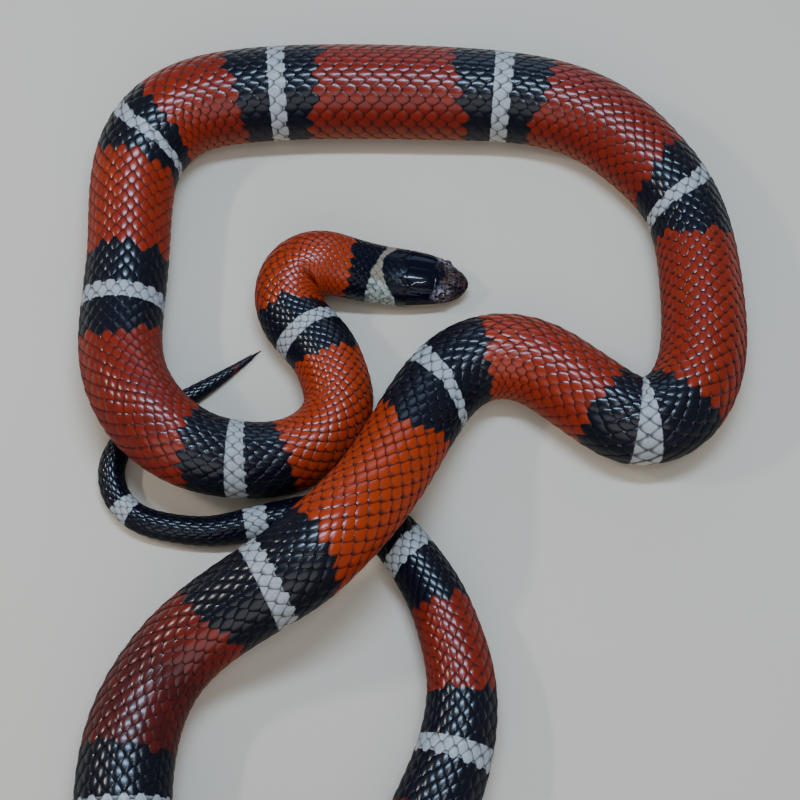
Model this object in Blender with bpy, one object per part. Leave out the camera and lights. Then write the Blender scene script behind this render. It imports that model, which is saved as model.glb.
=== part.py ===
"""Milk snake, adult and life size, lying still in open loops with its tail under its body.

Metres, +Z up. The origin is on the floor, under the middle of the body's box.
The head points along +X. Lengths along the body are counted from the tip of the snout.
"""
import math

import bmesh
import bpy
import numpy as np
from mathutils import Matrix, Vector

MM = 0.001

# Lay of the body on the floor: x, y in millimetres, from the snout to the tip of the tail
LAY_ORIGIN = (3.5, -28.8)
HEAD_AND_NECK = [(18.6, 32.2), (8, 33.6), (-3, 34.5), (-13, 35.6), (-21.5, 36.4), (-28.2, 33.2), (-30.2, 26.2)]
NECK_LOOP = [(-27, 18.8), (-21, 11.5), (-17.4, 3.2), (-16.2, -4.4), (-19.4, -12.2), (-26.2, -17.6)]
LEFT_TURN = [(-34, -20.3), (-43, -21), (-53, -19.3), (-62, -14), (-69.5, -4.5), (-73.8, 8)]
LEFT_RUN = [(-74.8, 22), (-74.3, 38), (-74.5, 55), (-73, 68.4), (-68.2, 78), (-59.4, 85)]
FAR_RUN = [(-47, 88.4), (-32, 89.8), (-10, 90.2), (17, 89.5), (31, 88.6), (44.3, 86), (56.5, 80.4), (68.6, 69.3)]
RIGHT_RUN = [(77, 57.2), (80.8, 43), (81.7, 28), (81.3, 14), (78, 1), (71, -7.5), (61.5, -9.5)]
MIDDLE_RUN = [(53, -5), (45, 1.1), (36.3, 6.8), (25.4, 8.8), (14.8, 4.2), (7.1, -5.8), (1.4, -17.2), (-4.2, -28.4)]
NEAR_RUN = [(-10.5, -38), (-17.5, -46), (-24, -52), (-32, -57), (-43.6, -63.3), (-55.4, -72.2)]
NEAR_TURN = [(-62.6, -83.2), (-65.9, -96), (-66.4, -108), (-65, -119.5), (-60.5, -132), (-49.5, -143),
             (-34.5, -148), (-18.5, -144.3), (-6, -134), (2.5, -121.5), (9, -107.5)]
HIND_RUN = [(13, -96.5), (15, -86.5), (15, -76.5), (12.8, -66.5), (9, -56), (3.3, -46.3), (-4, -37.8)]
TAIL_LAY = [(-14, -33.8), (-26, -34.4), (-38, -36.2), (-49, -37.9), (-59.5, -37), (-69, -33.8),
            (-74.5, -27.5), (-75.7, -19), (-71.5, -11), (-64.5, -5), (-56.5, 0.2), (-47, 7), (-37.7, 14.6)]
LAY = (HEAD_AND_NECK + NECK_LOOP + LEFT_TURN + LEFT_RUN + FAR_RUN + RIGHT_RUN + MIDDLE_RUN + NEAR_RUN
       + NEAR_TURN + HIND_RUN + TAIL_LAY)

# Body's width in millimetres at a length from the snout
WIDTH = [(0, 1.8), (0.4, 3.6), (1.2, 5.9), (3.4, 9.4), (6, 12), (8.8, 13.8), (12.8, 15.3), (16.5, 16.2),
         (22, 16.5), (32, 16.7), (45, 18.4), (87, 18.5), (125, 20.3), (155, 22.3), (200, 22.4), (222, 23.4),
         (245, 25.6), (285, 26.3), (320, 26.1), (350, 24.9), (376, 23.9), (407, 21.5), (432, 22.3), (462, 23.3),
         (533, 22.6), (573, 22), (601, 23), (643, 21.9), (668, 23.4), (704, 24), (744, 24), (799, 20.3),
         (839, 16.4), (884, 12), (898, 10.6), (907, 9.6), (916, 8.5), (926, 7.7), (940, 7.4), (958, 7.1),
         (988, 4.9), (1011, 0.7)]
# Height of the back over the flanks, and of the flanks over the belly, each as a share of half the width
CROWN = [(0, 0.76), (16, 0.74), (40, 0.96), (1015, 0.96)]
KEEL = [(0, 0.66), (6, 0.57), (16, 0.57), (40, 0.86), (1015, 0.86)]
# Where the body leaves the floor: middle and half length of the rise, and its height
RISES = [(6, 18, 0.5), (39, 24, 2.0), (147.5, 44, 7.0), (595, 62, 14.9)]
SNOUT_RISE = 3.3
SNOUT_RISE_LENGTH = 5.0
# Fullness of a section: 2 is round, more is squarer
BACK_FULLNESS = [(0, 2.2), (8, 2.45), (16, 2.35), (40, 2.0), (1015, 2.0)]
FLANK_FULLNESS = 2.6
FLAT_SHARE = 0.94
FOLD_SHARE = 0.93

# Where one node ends and the next begins, as lengths from the snout
HEAD_END = 23.0
NECK_END = 66.0
VENT = 870.0
TORSO_LENGTHS = 14
TAIL_ENDS = {"tail_base": 919.0, "tail_middle": 966.0}
NODE_GAP = 0.3
TAIL_TIP_BLUNT = 0.35

BODY_SIDES = 16
LEAST_RING_GAP = 0.6
# Belly scutes: length of one, how far and how steeply its rear edge stands out, and where on the flank
SCUTE_PITCH = 8.6
SCUTE_STEP = 0.32
SCUTE_EDGE = 0.35
SCUTE_SHOULDER = (105, 150)
FULL_SCUTE_WIDTH = 12.0

# Features of the head: places are a length from the snout and an angle from the crown
HEAD_RING_PITCH = 1.3

EYE_PLACE = (6.3, 68.0)
EYE_RADIUS = 1.35
EYE_SUNK = 1.0
NOSTRIL_PLACE = (1.9, 66.0)
NOSTRIL_RADIUS = 0.42
NOSTRIL_DEPTH = 0.8
NOSTRIL_TAPER = 0.6
MOUTH_ANGLE = 100.0
MOUTH_END = 17.5
MOUTH_DEPTH = 0.45
MOUTH_FADE = 2.0
SNOUT_MOUTH_SHARE = 0.25
LIP_ANGLE = 3.0
LIP_RISE = 0.12
PLATE_RISE = 0.22
PLATE_CROWN = 1.25
PLATE_ROOT = 0.7


def smooth_table(pairs, at):
    """Values of a table of pairs at the lengths `at`, without overshoot between its rows."""
    x, y = (np.array(column, float) for column in zip(*pairs))
    step = np.diff(x)
    slope = np.diff(y) / step
    alike = slope[:-1] * slope[1:] > 0
    mean = np.where(alike, 2 * slope[:-1] * slope[1:] / np.where(alike, slope[:-1] + slope[1:], 1), 0)
    tangent = np.concatenate([slope[:1], mean, slope[-1:]])
    row = np.clip(np.searchsorted(x, at, side="right") - 1, 0, len(x) - 2)
    t = (at - x[row]) / step[row]
    return ((1 + 2 * t) * (1 - t) ** 2 * y[row] + t * (1 - t) ** 2 * step[row] * tangent[row]
            + t * t * (3 - 2 * t) * y[row + 1] + t * t * (t - 1) * step[row] * tangent[row + 1])


def natural_spline(points, count):
    """`count` places along the smooth curve through the points, which bends evenly at each of them."""
    points = np.array(points, float)
    knots = np.concatenate([[0], np.cumsum(np.linalg.norm(np.diff(points, axis=0), axis=1))])
    step = np.diff(knots)
    size = len(points)
    system = np.eye(size)
    target = np.zeros_like(points)
    slopes = np.diff(points, axis=0) / step[:, None]
    for i in range(1, size - 1):
        system[i, i - 1:i + 2] = step[i - 1], 2 * (step[i - 1] + step[i]), step[i]
        target[i] = 6 * (slopes[i] - slopes[i - 1])
    bending = np.linalg.solve(system, target)
    at = np.linspace(0, knots[-1], count)
    row = np.clip(np.searchsorted(knots, at, side="right") - 1, 0, size - 2)
    span = step[row][:, None]
    before = ((knots[row + 1] - at) / step[row])[:, None]
    after = 1 - before
    bow = (before ** 3 - before) * bending[row] + (after ** 3 - after) * bending[row + 1]
    return before * points[row] + after * points[row + 1] + bow * span ** 2 / 6


class Body:
    """The line along the belly, with the width and height of the body at each length from the snout."""

    def __init__(self):
        line = natural_spline(np.array(LAY) - LAY_ORIGIN, 12000)
        run = np.concatenate([[0], np.cumsum(np.linalg.norm(np.diff(line, axis=0), axis=1))])
        self.length = float(run[-1])
        self.at = np.linspace(0, self.length, 4000)
        self.line = np.stack([np.interp(self.at, run, line[:, k]) for k in (0, 1)], axis=1)
        ahead = np.gradient(self.line, self.at, axis=0)
        self.heading = np.unwrap(np.arctan2(ahead[:, 1], ahead[:, 0]))
        self.turn = np.gradient(self.heading, self.at)

    def rise(self, at):
        """Height of the belly over the floor."""
        height = SNOUT_RISE * np.clip(1 - at / SNOUT_RISE_LENGTH, 0, 1) ** 3
        for middle, half, top in RISES:
            share = np.clip((at - middle) / half, -1, 1)
            height = height + top * np.cos(share * math.pi / 2) ** 2
        return height

    def surface(self, at, angle, out=0.0):
        """Points in metres at lengths from the snout and angles from the back's middle, moved outward."""
        at, angle, out = np.broadcast_arrays(np.asarray(at, float), np.radians(angle), np.asarray(out, float))
        half = smooth_table(WIDTH, at) / 2
        sine, cosine = np.sin(angle), np.cos(angle)
        power = np.where(cosine >= 0, 2 / smooth_table(BACK_FULLNESS, at), 2 / FLANK_FULLNESS)
        across = np.sign(sine) * np.abs(sine) ** power
        rounded = np.abs(cosine) ** power
        keel = smooth_table(KEEL, at)
        up = np.where(cosine >= 0, smooth_table(CROWN, at) * rounded,
                      -keel * np.minimum(rounded, FLAT_SHARE) / FLAT_SHARE)
        turn = np.interp(at, self.at, self.turn)
        crowding = np.abs(turn) * half
        folded = (across * turn < 0) & (crowding > FOLD_SHARE)
        across = np.where(folded, across * FOLD_SHARE / np.maximum(crowding, FOLD_SHARE), across)
        heading = np.interp(at, self.at, self.heading)
        side = half * across + out * sine
        x = np.interp(at, self.at, self.line[:, 0]) + np.sin(heading) * side
        y = np.interp(at, self.at, self.line[:, 1]) - np.cos(heading) * side
        z = self.rise(at) + half * (keel + up) + out * cosine
        return np.stack([x, y, z], axis=-1) * MM


def loft(name, rings, collection):
    """One closed object through rings of points that all have the same count."""
    mesh = bmesh.new()
    loops = [[mesh.verts.new(point) for point in ring] for ring in rings]
    for ring, following in zip(loops, loops[1:]):
        for i in range(len(ring)):
            j = (i + 1) % len(ring)
            mesh.faces.new((ring[i], ring[j], following[j], following[i]))
    mesh.faces.new(reversed(loops[0]))
    mesh.faces.new(loops[-1])
    bmesh.ops.triangulate(mesh, faces=mesh.faces[:])
    bmesh.ops.recalc_face_normals(mesh, faces=mesh.faces[:])
    return finish(name, mesh, collection)


def finish(name, mesh, collection):
    """Puts a bmesh into a new object of the collection, drawn as wires where it only shapes another."""
    data = bpy.data.meshes.new(name)
    mesh.to_mesh(data)
    mesh.free()
    thing = bpy.data.objects.new(name, data)
    thing.hide_render = collection.hide_render
    thing.display_type = "WIRE" if collection.hide_render else "TEXTURED"
    collection.objects.link(thing)
    return thing


def apply_modifiers(thing):
    """Makes the object's evaluated mesh its own, so that nothing is left to evaluate."""
    view = bpy.context.evaluated_depsgraph_get()
    data = bpy.data.meshes.new_from_object(thing.evaluated_get(view))
    thing.modifiers.clear()
    thing.data = data


def combine(thing, helpers, operation):
    """Joins the helpers to the object, or cuts them from it, in one Boolean, and removes them."""
    boolean = thing.modifiers.new(operation.lower(), "BOOLEAN")
    boolean.operand_type = "COLLECTION"
    boolean.collection = helpers
    boolean.operation = operation
    boolean.solver = "MANIFOLD"
    apply_modifiers(thing)
    for helper in list(helpers.objects):
        bpy.data.objects.remove(helper)


def keep_largest(thing):
    """Drops every closed surface of the object except the one with the most faces."""
    mesh = bmesh.new()
    mesh.from_mesh(thing.data)
    unseen = set(mesh.faces)
    shells = []
    while unseen:
        shell, edge = set(), [unseen.pop()]
        while edge:
            face = edge.pop()
            shell.add(face)
            near = {other for line in face.edges for other in line.link_faces} & unseen
            unseen -= near
            edge.extend(near)
        shells.append(shell)
    largest = max(shells, key=len)
    bmesh.ops.delete(mesh, geom=[face for face in mesh.faces if face not in largest], context="FACES")
    bmesh.ops.triangulate(mesh, faces=mesh.faces[:])
    mesh.to_mesh(thing.data)
    mesh.free()


def new_collection(name, is_helper=False):
    collection = bpy.data.collections.new(name)
    bpy.context.scene.collection.children.link(collection)
    collection.hide_render = is_helper
    return collection


def finish_material(name, colour, roughness):
    """A Principled material with the finish of one kind of scale."""
    material = bpy.data.materials.new(name)
    material.use_nodes = True
    shader = material.node_tree.nodes["Principled BSDF"]
    shader.inputs["Base Color"].default_value = (*colour, 1)
    shader.inputs["Roughness"].default_value = roughness
    shader.inputs["Metallic"].default_value = 0
    material.diffuse_color = (*colour, 1)
    return material


def body_angles():
    """Angles of a ring of the body, the middle of the back first."""
    return np.arange(BODY_SIDES) * 360 / BODY_SIDES


def ring_lengths(start, end):
    """Lengths of the rings of a node: two at the rear edge of each belly scute, one between them."""
    first = math.floor(start / SCUTE_PITCH) + 1
    rows = [(start, 0.0)]
    for number in range(first, math.ceil(end / SCUTE_PITCH) + 1):
        edge = number * SCUTE_PITCH
        rows.append((edge - SCUTE_PITCH / 2, 0.5))
        rows.append((edge - SCUTE_EDGE, 1.0))
        rows.append((edge, 0.0))
    inside = [row for row in rows if start + LEAST_RING_GAP < row[0] < end - LEAST_RING_GAP]
    last = inside[-1][1] if inside else 0.0
    return [rows[0]] + inside + [(end, last)]


def scute_lift(angles, share, width):
    """How far a ring stands out where the belly scutes turn up on the flanks."""
    turned = np.abs(((angles + 180) % 360) - 180)
    shoulder = (turned > SCUTE_SHOULDER[0]) & (turned < SCUTE_SHOULDER[1])
    return np.where(shoulder, SCUTE_STEP * share * min(1.0, width / FULL_SCUTE_WIDTH), 0.0)


def make_length(body, name, start, end, collection):
    """One length of neck, torso or tail, with its belly scutes stepped along both flanks."""
    angles = body_angles()
    rings = []
    for at, share in ring_lengths(start, end):
        width = float(smooth_table(WIDTH, np.array(at)))
        rings.append(body.surface(at, angles, scute_lift(angles, share, width)))
    return loft(name, rings, collection)


def head_angles():
    """Angles of a ring of the head, close together at the lips."""
    lips = [MOUTH_ANGLE - 8, MOUTH_ANGLE - LIP_ANGLE, MOUTH_ANGLE, MOUTH_ANGLE + LIP_ANGLE, MOUTH_ANGLE + 10]
    side = [15, 30, 45, 60, 76] + lips + [128, 157.5]
    return np.array([0] + side + [180] + [360 - angle for angle in reversed(side)])


def head_lengths():
    """Lengths of the head's rings, closest at the snout."""
    snout = [0.0, 0.25, 0.7, 1.3, 2.1, 3.1]
    return snout + list(np.arange(4.3, HEAD_END - NODE_GAP, HEAD_RING_PITCH)) + [HEAD_END]


def make_head_core(body, collection):
    """The head as a loft, with the line of the mouth pressed in between raised lips."""
    angles = head_angles()
    turned = np.abs(((angles + 180) % 360) - 180)
    rings = []
    for at in head_lengths():
        fade = np.clip((MOUTH_END - at) / MOUTH_FADE, 0, 1) * np.clip(at, SNOUT_MOUTH_SHARE, 1)
        out = np.where(np.isclose(turned, MOUTH_ANGLE), -MOUTH_DEPTH * fade, 0.0)
        out = np.where(np.isclose(np.abs(turned - MOUTH_ANGLE), LIP_ANGLE), LIP_RISE * fade, out)
        rings.append(body.surface(at, angles, out))
    return loft("head", rings, collection)


def crown_point(body, along, aside, out):
    """A point over the crown at a length from the snout and a distance in millimetres from the middle."""
    here = np.array(along)
    share = min(0.999, abs(aside) / float(smooth_table(WIDTH, here)) * 2)
    fullness = float(smooth_table(BACK_FULLNESS, here))
    angle = math.copysign(math.degrees(math.asin(share ** (fullness / 2))), aside)
    return Vector(body.surface(along, angle, out))


def side_point(body, along, angle, out):
    """A point on the side of the head at a length from the snout and an angle from the crown."""
    return Vector(body.surface(along, angle, out))


def make_plate(name, outline, place, collection):
    """A low plate over an outline, with its root sunk in the head and its middle a little crowned."""
    mesh = bmesh.new()
    middle = [sum(values) / len(outline) for values in zip(*outline)]
    top = [mesh.verts.new(place(*corner, PLATE_RISE)) for corner in outline]
    root = [mesh.verts.new(place(*corner, -PLATE_ROOT)) for corner in outline]
    crown = mesh.verts.new(place(*middle, PLATE_RISE * PLATE_CROWN))
    keel = mesh.verts.new(place(*middle, -PLATE_ROOT))
    for i in range(len(outline)):
        j = (i + 1) % len(outline)
        mesh.faces.new((top[i], top[j], crown))
        mesh.faces.new((root[j], root[i], keel))
        mesh.faces.new((root[i], root[j], top[j]))
        mesh.faces.new((root[i], top[j], top[i]))
    bmesh.ops.recalc_face_normals(mesh, faces=mesh.faces[:])
    return finish(name, mesh, collection)


# Plates of the crown on one side of its middle, as length from the snout and distance aside
PLATE_SEAM = 0.16
INTERNASAL = [(1.0, PLATE_SEAM), (2.6, PLATE_SEAM), (2.7, 2.2), (1.9, 2.5), (1.3, 1.8)]
PREFRONTAL = [(2.95, PLATE_SEAM), (5.0, PLATE_SEAM), (5.5, 1.4), (4.9, 3.5), (3.8, 3.7), (3.0, 2.4)]
FRONTAL = [(5.35, 0), (5.9, 1.3), (8.4, 1.15), (10.4, 0), (8.4, -1.15), (5.9, -1.3)]
SUPRAOCULAR = [(5.4, 2.0), (5.3, 3.6), (7.0, 4.5), (8.9, 4.6), (8.7, 1.7), (6.2, 1.75)]
PARIETAL = [(10.9, PLATE_SEAM), (9.1, 1.5), (9.3, 4.2), (12.0, 5.2), (15.2, 4.6), (16.6, 2.4),
            (16.2, PLATE_SEAM)]
CROWN_PLATES = {"internasal": INTERNASAL, "prefrontal": PREFRONTAL, "supraocular": SUPRAOCULAR,
                "parietal": PARIETAL}
# Plates of one side of the face and of the chin, as length from the snout and angle from the crown
SIDE_PLATES = {
    "nasal": [(1.0, 42), (1.9, 47), (2.8, 46), (3.15, 56), (3.2, 78), (1.0, 76)],
    "loreal": [(3.4, 57), (4.4, 60), (4.4, 78), (3.45, 78)],
    "upper postocular": [(8.2, 57), (9.2, 51), (9.4, 65), (8.2, 67)],
    "lower postocular": [(8.2, 69.5), (9.4, 67.5), (9.2, 79), (8.0, 79)],
    "upper front temporal": [(9.5, 49), (12.4, 48), (12.7, 63), (9.7, 65)],
    "lower front temporal": [(9.7, 67.5), (12.7, 65.5), (12.5, 79), (9.5, 79)],
    "upper rear temporal": [(12.8, 48), (15.3, 41), (16.0, 51), (12.9, 57)],
    "middle rear temporal": [(13.0, 59.5), (16.1, 53.5), (16.2, 67.5), (13.1, 69.5)],
    "lower rear temporal": [(13.1, 72), (16.2, 70), (16.2, 79), (12.9, 79)],
    "front chin shield": [(1.7, 175), (1.6, 152), (2.4, 124), (5.4, 124), (6.1, 175)],
    "rear chin shield": [(6.6, 175), (5.9, 125), (8.3, 128), (10.8, 150), (10.3, 175)],
}
UPPER_LABIALS = 7
LOWER_LABIALS = 7
LABIAL_START = 0.9
LABIAL_GROWTH = 1.2
UPPER_LABIAL_ANGLES = (81.0, 95.5)
LOWER_LABIAL_ANGLES = (104.5, 118.0)


def make_head_plates(body, collection):
    """The plates of the crown, face and chin, and the rows of labial plates over and under the mouth."""
    def on_crown(along, aside, out):
        return crown_point(body, along, aside, out)

    def on_side(along, angle, out):
        return side_point(body, along, angle, out)

    make_plate("frontal", FRONTAL, on_crown, collection)
    for name, outline in CROWN_PLATES.items():
        for side in (1, -1):
            make_plate(name, [(along, aside * side) for along, aside in outline], on_crown, collection)
    sides = list(SIDE_PLATES.items())
    rows = ((UPPER_LABIALS, UPPER_LABIAL_ANGLES), (LOWER_LABIALS, LOWER_LABIAL_ANGLES))
    for count, (near, far) in rows:
        edges = LABIAL_START + (MOUTH_END - LABIAL_START) * (np.arange(count + 1) / count) ** LABIAL_GROWTH
        for start, end in zip(edges, edges[1:]):
            front, rear = start + PLATE_SEAM / 2, end - PLATE_SEAM / 2
            sides.append(("labial", [(front, near), (rear, near), (rear, far), (front, far)]))
    for name, outline in sides:
        for side in (1, -1):
            make_plate(name, [(along, angle * side) for along, angle in outline], on_side, collection)


def side_frame(body, place, sunk):
    """Where a feature sits on each side of the head, with +Z pointing out of the head."""
    along, angle = place
    for side, name in ((1, "left"), (-1, "right")):
        foot = side_point(body, along, angle * side, 0)
        out = side_point(body, along, angle * side, 1) - foot
        here = side_point(body, along, angle * side, -sunk)
        yield name, Matrix.Translation(here) @ out.to_track_quat("Z", "Y").to_matrix().to_4x4()


def make_head(body, collection, helpers):
    """The head with its plates joined, then its eye sockets and nostrils cut."""
    head = make_head_core(body, collection)
    make_head_plates(body, helpers)
    combine(head, helpers, "UNION")
    for name, frame in side_frame(body, EYE_PLACE, EYE_SUNK):
        mesh = bmesh.new()
        radius = (EYE_RADIUS + NODE_GAP) * MM
        bmesh.ops.create_uvsphere(mesh, u_segments=14, v_segments=9, radius=radius, matrix=frame)
        finish("socket_" + name, mesh, helpers)
    for name, frame in side_frame(body, NOSTRIL_PLACE, 0):
        mesh = bmesh.new()
        radius, depth = NOSTRIL_RADIUS * MM, 2 * NOSTRIL_DEPTH * MM
        bmesh.ops.create_cone(mesh, cap_ends=True, segments=8, radius1=radius * NOSTRIL_TAPER, radius2=radius,
                              depth=depth, matrix=frame)
        finish("nostril_" + name, mesh, helpers)
    combine(head, helpers, "DIFFERENCE")
    keep_largest(head)
    return head


def make_eyes(body, collection):
    """Two round eyes, each clear of its socket by the gap between nodes."""
    for name, frame in side_frame(body, EYE_PLACE, EYE_SUNK):
        mesh = bmesh.new()
        bmesh.ops.create_uvsphere(mesh, u_segments=14, v_segments=9, radius=EYE_RADIUS * MM, matrix=frame)
        yield finish("eye_" + name, mesh, collection)


def node_ends(body):
    """Names of the lengths behind the head, each with its start and end."""
    marks = [("neck", NECK_END)]
    for number in range(1, TORSO_LENGTHS + 1):
        marks.append((f"torso_{number:02d}", NECK_END + (VENT - NECK_END) * number / TORSO_LENGTHS))
    marks += list(TAIL_ENDS.items())
    marks.append(("tail_tip", body.length - TAIL_TIP_BLUNT))
    start = HEAD_END
    for name, end in marks:
        yield name, start + NODE_GAP, end
        start = end


def build():
    for old in list(bpy.data.objects):
        bpy.data.objects.remove(old)
    snake = new_collection("milk_snake")
    helpers = new_collection("milk_snake_helpers", is_helper=True)
    body = Body()
    red = finish_material("red_scales", (0.42, 0.055, 0.02), 0.38)
    black = finish_material("black_scales", (0.012, 0.012, 0.016), 0.3)
    eye = finish_material("eye", (0.01, 0.008, 0.008), 0.08)
    head = make_head(body, snake, helpers)
    head.data.materials.append(black)
    for ball in make_eyes(body, snake):
        ball.data.materials.append(eye)
    for name, start, end in node_ends(body):
        length = make_length(body, name, start, end, snake)
        length.data.materials.append(black if name.startswith("tail") else red)
    bpy.data.collections.remove(helpers)
    for thing in snake.objects:
        thing.data.shade_smooth()


build()
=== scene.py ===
import math

import bmesh
import bpy
import numpy as np
from bpy.props import FloatProperty, FloatVectorProperty, IntProperty, PointerProperty
from mathutils import Matrix, Vector


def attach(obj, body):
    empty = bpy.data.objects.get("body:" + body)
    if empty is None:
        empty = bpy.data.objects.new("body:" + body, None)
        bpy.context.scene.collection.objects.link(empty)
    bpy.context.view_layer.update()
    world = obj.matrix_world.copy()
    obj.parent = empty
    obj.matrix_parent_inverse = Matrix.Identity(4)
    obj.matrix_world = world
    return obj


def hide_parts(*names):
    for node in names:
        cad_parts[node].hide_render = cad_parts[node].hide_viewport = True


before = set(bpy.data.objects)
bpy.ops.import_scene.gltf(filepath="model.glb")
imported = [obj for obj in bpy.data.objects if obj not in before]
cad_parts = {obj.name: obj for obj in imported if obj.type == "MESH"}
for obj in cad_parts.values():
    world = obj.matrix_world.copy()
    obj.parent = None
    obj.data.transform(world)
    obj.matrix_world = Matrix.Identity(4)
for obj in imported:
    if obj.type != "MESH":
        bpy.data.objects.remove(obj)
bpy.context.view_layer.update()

bl_info = {
    "name": "Milk snake",
    "version": (1, 0, 0),
    "blender": (4, 5, 0),
    "location": "View3D > Sidebar > Milk snake",
    "description": "Skin, scales, plates and eyes of a life-size milk snake at rest",
    "category": "Object",
}

# Metres in a millimetre. Lengths along the body, widths and heights below are in millimetres.
MM = 0.001

# Lay of the body on the floor: x, y from the snout to the tip of the tail, and the model's origin among them
LAY_ORIGIN = (3.5, -28.8)
HEAD_AND_NECK = [(18.6, 32.2), (8, 33.6), (-3, 34.5), (-13, 35.6), (-21.5, 36.4), (-28.2, 33.2),
                 (-30.2, 26.2)]
NECK_LOOP = [(-27, 18.8), (-21, 11.5), (-17.4, 3.2), (-16.2, -4.4), (-19.4, -12.2), (-26.2, -17.6)]
LEFT_TURN = [(-34, -20.3), (-43, -21), (-53, -19.3), (-62, -14), (-69.5, -4.5), (-73.8, 8)]
LEFT_RUN = [(-74.8, 22), (-74.3, 38), (-74.5, 55), (-73, 68.4), (-68.2, 78), (-59.4, 85)]
FAR_RUN = [(-47, 88.4), (-32, 89.8), (-10, 90.2), (17, 89.5), (31, 88.6), (44.3, 86), (56.5, 80.4),
           (68.6, 69.3)]
RIGHT_RUN = [(77, 57.2), (80.8, 43), (81.7, 28), (81.3, 14), (78, 1), (71, -7.5), (61.5, -9.5)]
MIDDLE_RUN = [(53, -5), (45, 1.1), (36.3, 6.8), (25.4, 8.8), (14.8, 4.2), (7.1, -5.8), (1.4, -17.2),
              (-4.2, -28.4)]
NEAR_RUN = [(-10.5, -38), (-17.5, -46), (-24, -52), (-32, -57), (-43.6, -63.3), (-55.4, -72.2)]
NEAR_TURN = [(-62.6, -83.2), (-65.9, -96), (-66.4, -108), (-65, -119.5), (-60.5, -132), (-49.5, -143),
             (-34.5, -148), (-18.5, -144.3), (-6, -134), (2.5, -121.5), (9, -107.5)]
HIND_RUN = [(13, -96.5), (15, -86.5), (15, -76.5), (12.8, -66.5), (9, -56), (3.3, -46.3), (-4, -37.8)]
TAIL_LAY = [(-14, -33.8), (-26, -34.4), (-38, -36.2), (-49, -37.9), (-59.5, -37), (-69, -33.8),
            (-74.5, -27.5), (-75.7, -19), (-71.5, -11), (-64.5, -5), (-56.5, 0.2), (-47, 7), (-37.7, 14.6)]
LAY = (HEAD_AND_NECK + NECK_LOOP + LEFT_TURN + LEFT_RUN + FAR_RUN + RIGHT_RUN + MIDDLE_RUN + NEAR_RUN
       + NEAR_TURN + HIND_RUN + TAIL_LAY)
# Points of the smooth line through the lay, and lengths at which its heading and turn are kept
LINE_POINTS = 12000
KEPT_POINTS = 4000

# Body's width at a length from the snout
WIDTH = [(0, 1.8), (0.4, 3.6), (1.2, 5.9), (3.4, 9.4), (6, 12), (8.8, 13.8), (12.8, 15.3), (16.5, 16.2),
         (22, 16.5), (32, 16.7), (45, 18.4), (87, 18.5), (125, 20.3), (155, 22.3), (200, 22.4), (222, 23.4),
         (245, 25.6), (285, 26.3), (320, 26.1), (350, 24.9), (376, 23.9), (407, 21.5), (432, 22.3),
         (462, 23.3), (533, 22.6), (573, 22), (601, 23), (643, 21.9), (668, 23.4), (704, 24), (744, 24),
         (799, 20.3), (839, 16.4), (884, 12), (898, 10.6), (907, 9.6), (916, 8.5), (926, 7.7), (940, 7.4),
         (958, 7.1), (988, 4.9), (1011, 0.7)]
# Height of the back over the flanks, and of the flanks over the belly, each as a share of half the width
CROWN = [(0, 0.76), (16, 0.74), (40, 0.96), (1015, 0.96)]
KEEL = [(0, 0.66), (6, 0.57), (16, 0.57), (40, 0.86), (1015, 0.86)]
# Where the body leaves the floor: middle and half length of the rise, and its height
RISES = [(6, 18, 0.5), (39, 24, 2.0), (147.5, 44, 7.0), (595, 62, 14.9)]
# How far the tip of the snout's underside is lifted, and over what length
SNOUT_RISE = 3.3
SNOUT_RISE_LENGTH = 5.0
# Fullness of a section over and under its widest place: 2 is round, more is squarer
BACK_FULLNESS = [(0, 2.2), (8, 2.45), (16, 2.35), (40, 2.0), (1015, 2.0)]
FLANK_FULLNESS = 2.6
# The belly is flat beyond this share of its rounded depth
FLAT_SHARE = 0.94
# Inside a tight bend the body reaches at most this share of the way to the bend's centre
FOLD_SHARE = 0.93

# Lengths at which the scutes of the belly begin, the tail begins, and its bare tip begins
THROAT_END = 24.0
VENT = 870.0
TAIL_SPINE = 1007.0
# Lengths of the body that each carry a piece of scales and one of scutes: its name, start and end
BODY_LENGTHS = [("neck", 10.0, 66.0), ("front", 66.0, 265.0), ("middle", 265.0, 465.0),
                ("hind", 465.0, 665.0), ("rear", 665.0, VENT), ("tail", VENT, TAIL_SPINE)]

# Scales: pitch along a row, and degrees between rows, at a length from the snout
PITCH = [(0, 1.9), (30, 2.1), (50, 2.3), (85, 2.65), (105, 3.4), (146, 3.55), (165, 4.0), (210, 3.95),
         (254, 3.85), (290, 4.25), (320, 4.25), (350, 4.1), (380, 3.9), (430, 3.85), (510, 4.1), (532, 3.95),
         (552, 4.4), (585, 4.5), (605, 4.2), (640, 4.25), (660, 4.0), (822, 4.0), (838, 3.7), (855, 3.1),
         (920, 3.1), (940, 2.75), (985, 2.6), (1000, 2.0), (1015, 1.7)]
ROW_SPACING = [(0, 11.5), (22, 10.6), (60, 10.6), (120, 11.6), (740, 11.6), (800, 12.6), (830, 13.4),
               (866, 15.5), (905, 20), (943, 21.5), (985, 25), (1015, 34)]
# Pitch of a scale of full thickness and rise, and the least and greatest share of them that others have
FULL_PITCH = 4.0
COAT_LIMITS = (0.4, 1.1)
# Angle at which the scales end and the scutes begin, and the most rows on each side of the middle one
FLANK_END = 121.0
ROWS_ASIDE = 16
# How much closer the rows lie on the back than the same count spread evenly, as a share
ROW_CROWDING = 0.18
# Fullness of a scale's outline in its rear half and its front half: 1 is a diamond, 2 is round
SCALE_OUTLINE = (1.36, 1.55)
# Random differences between scales: spread of their turn, and of their size as a share
SCALE_TWIST = 0.03
SCALE_SPREAD = 0.025
# How far a scale's root stands over the skin, and how deep its underside lies as a share of its thickness
ROOT_LIFT = 0.05
UNDER_SHARE = 0.6
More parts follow.
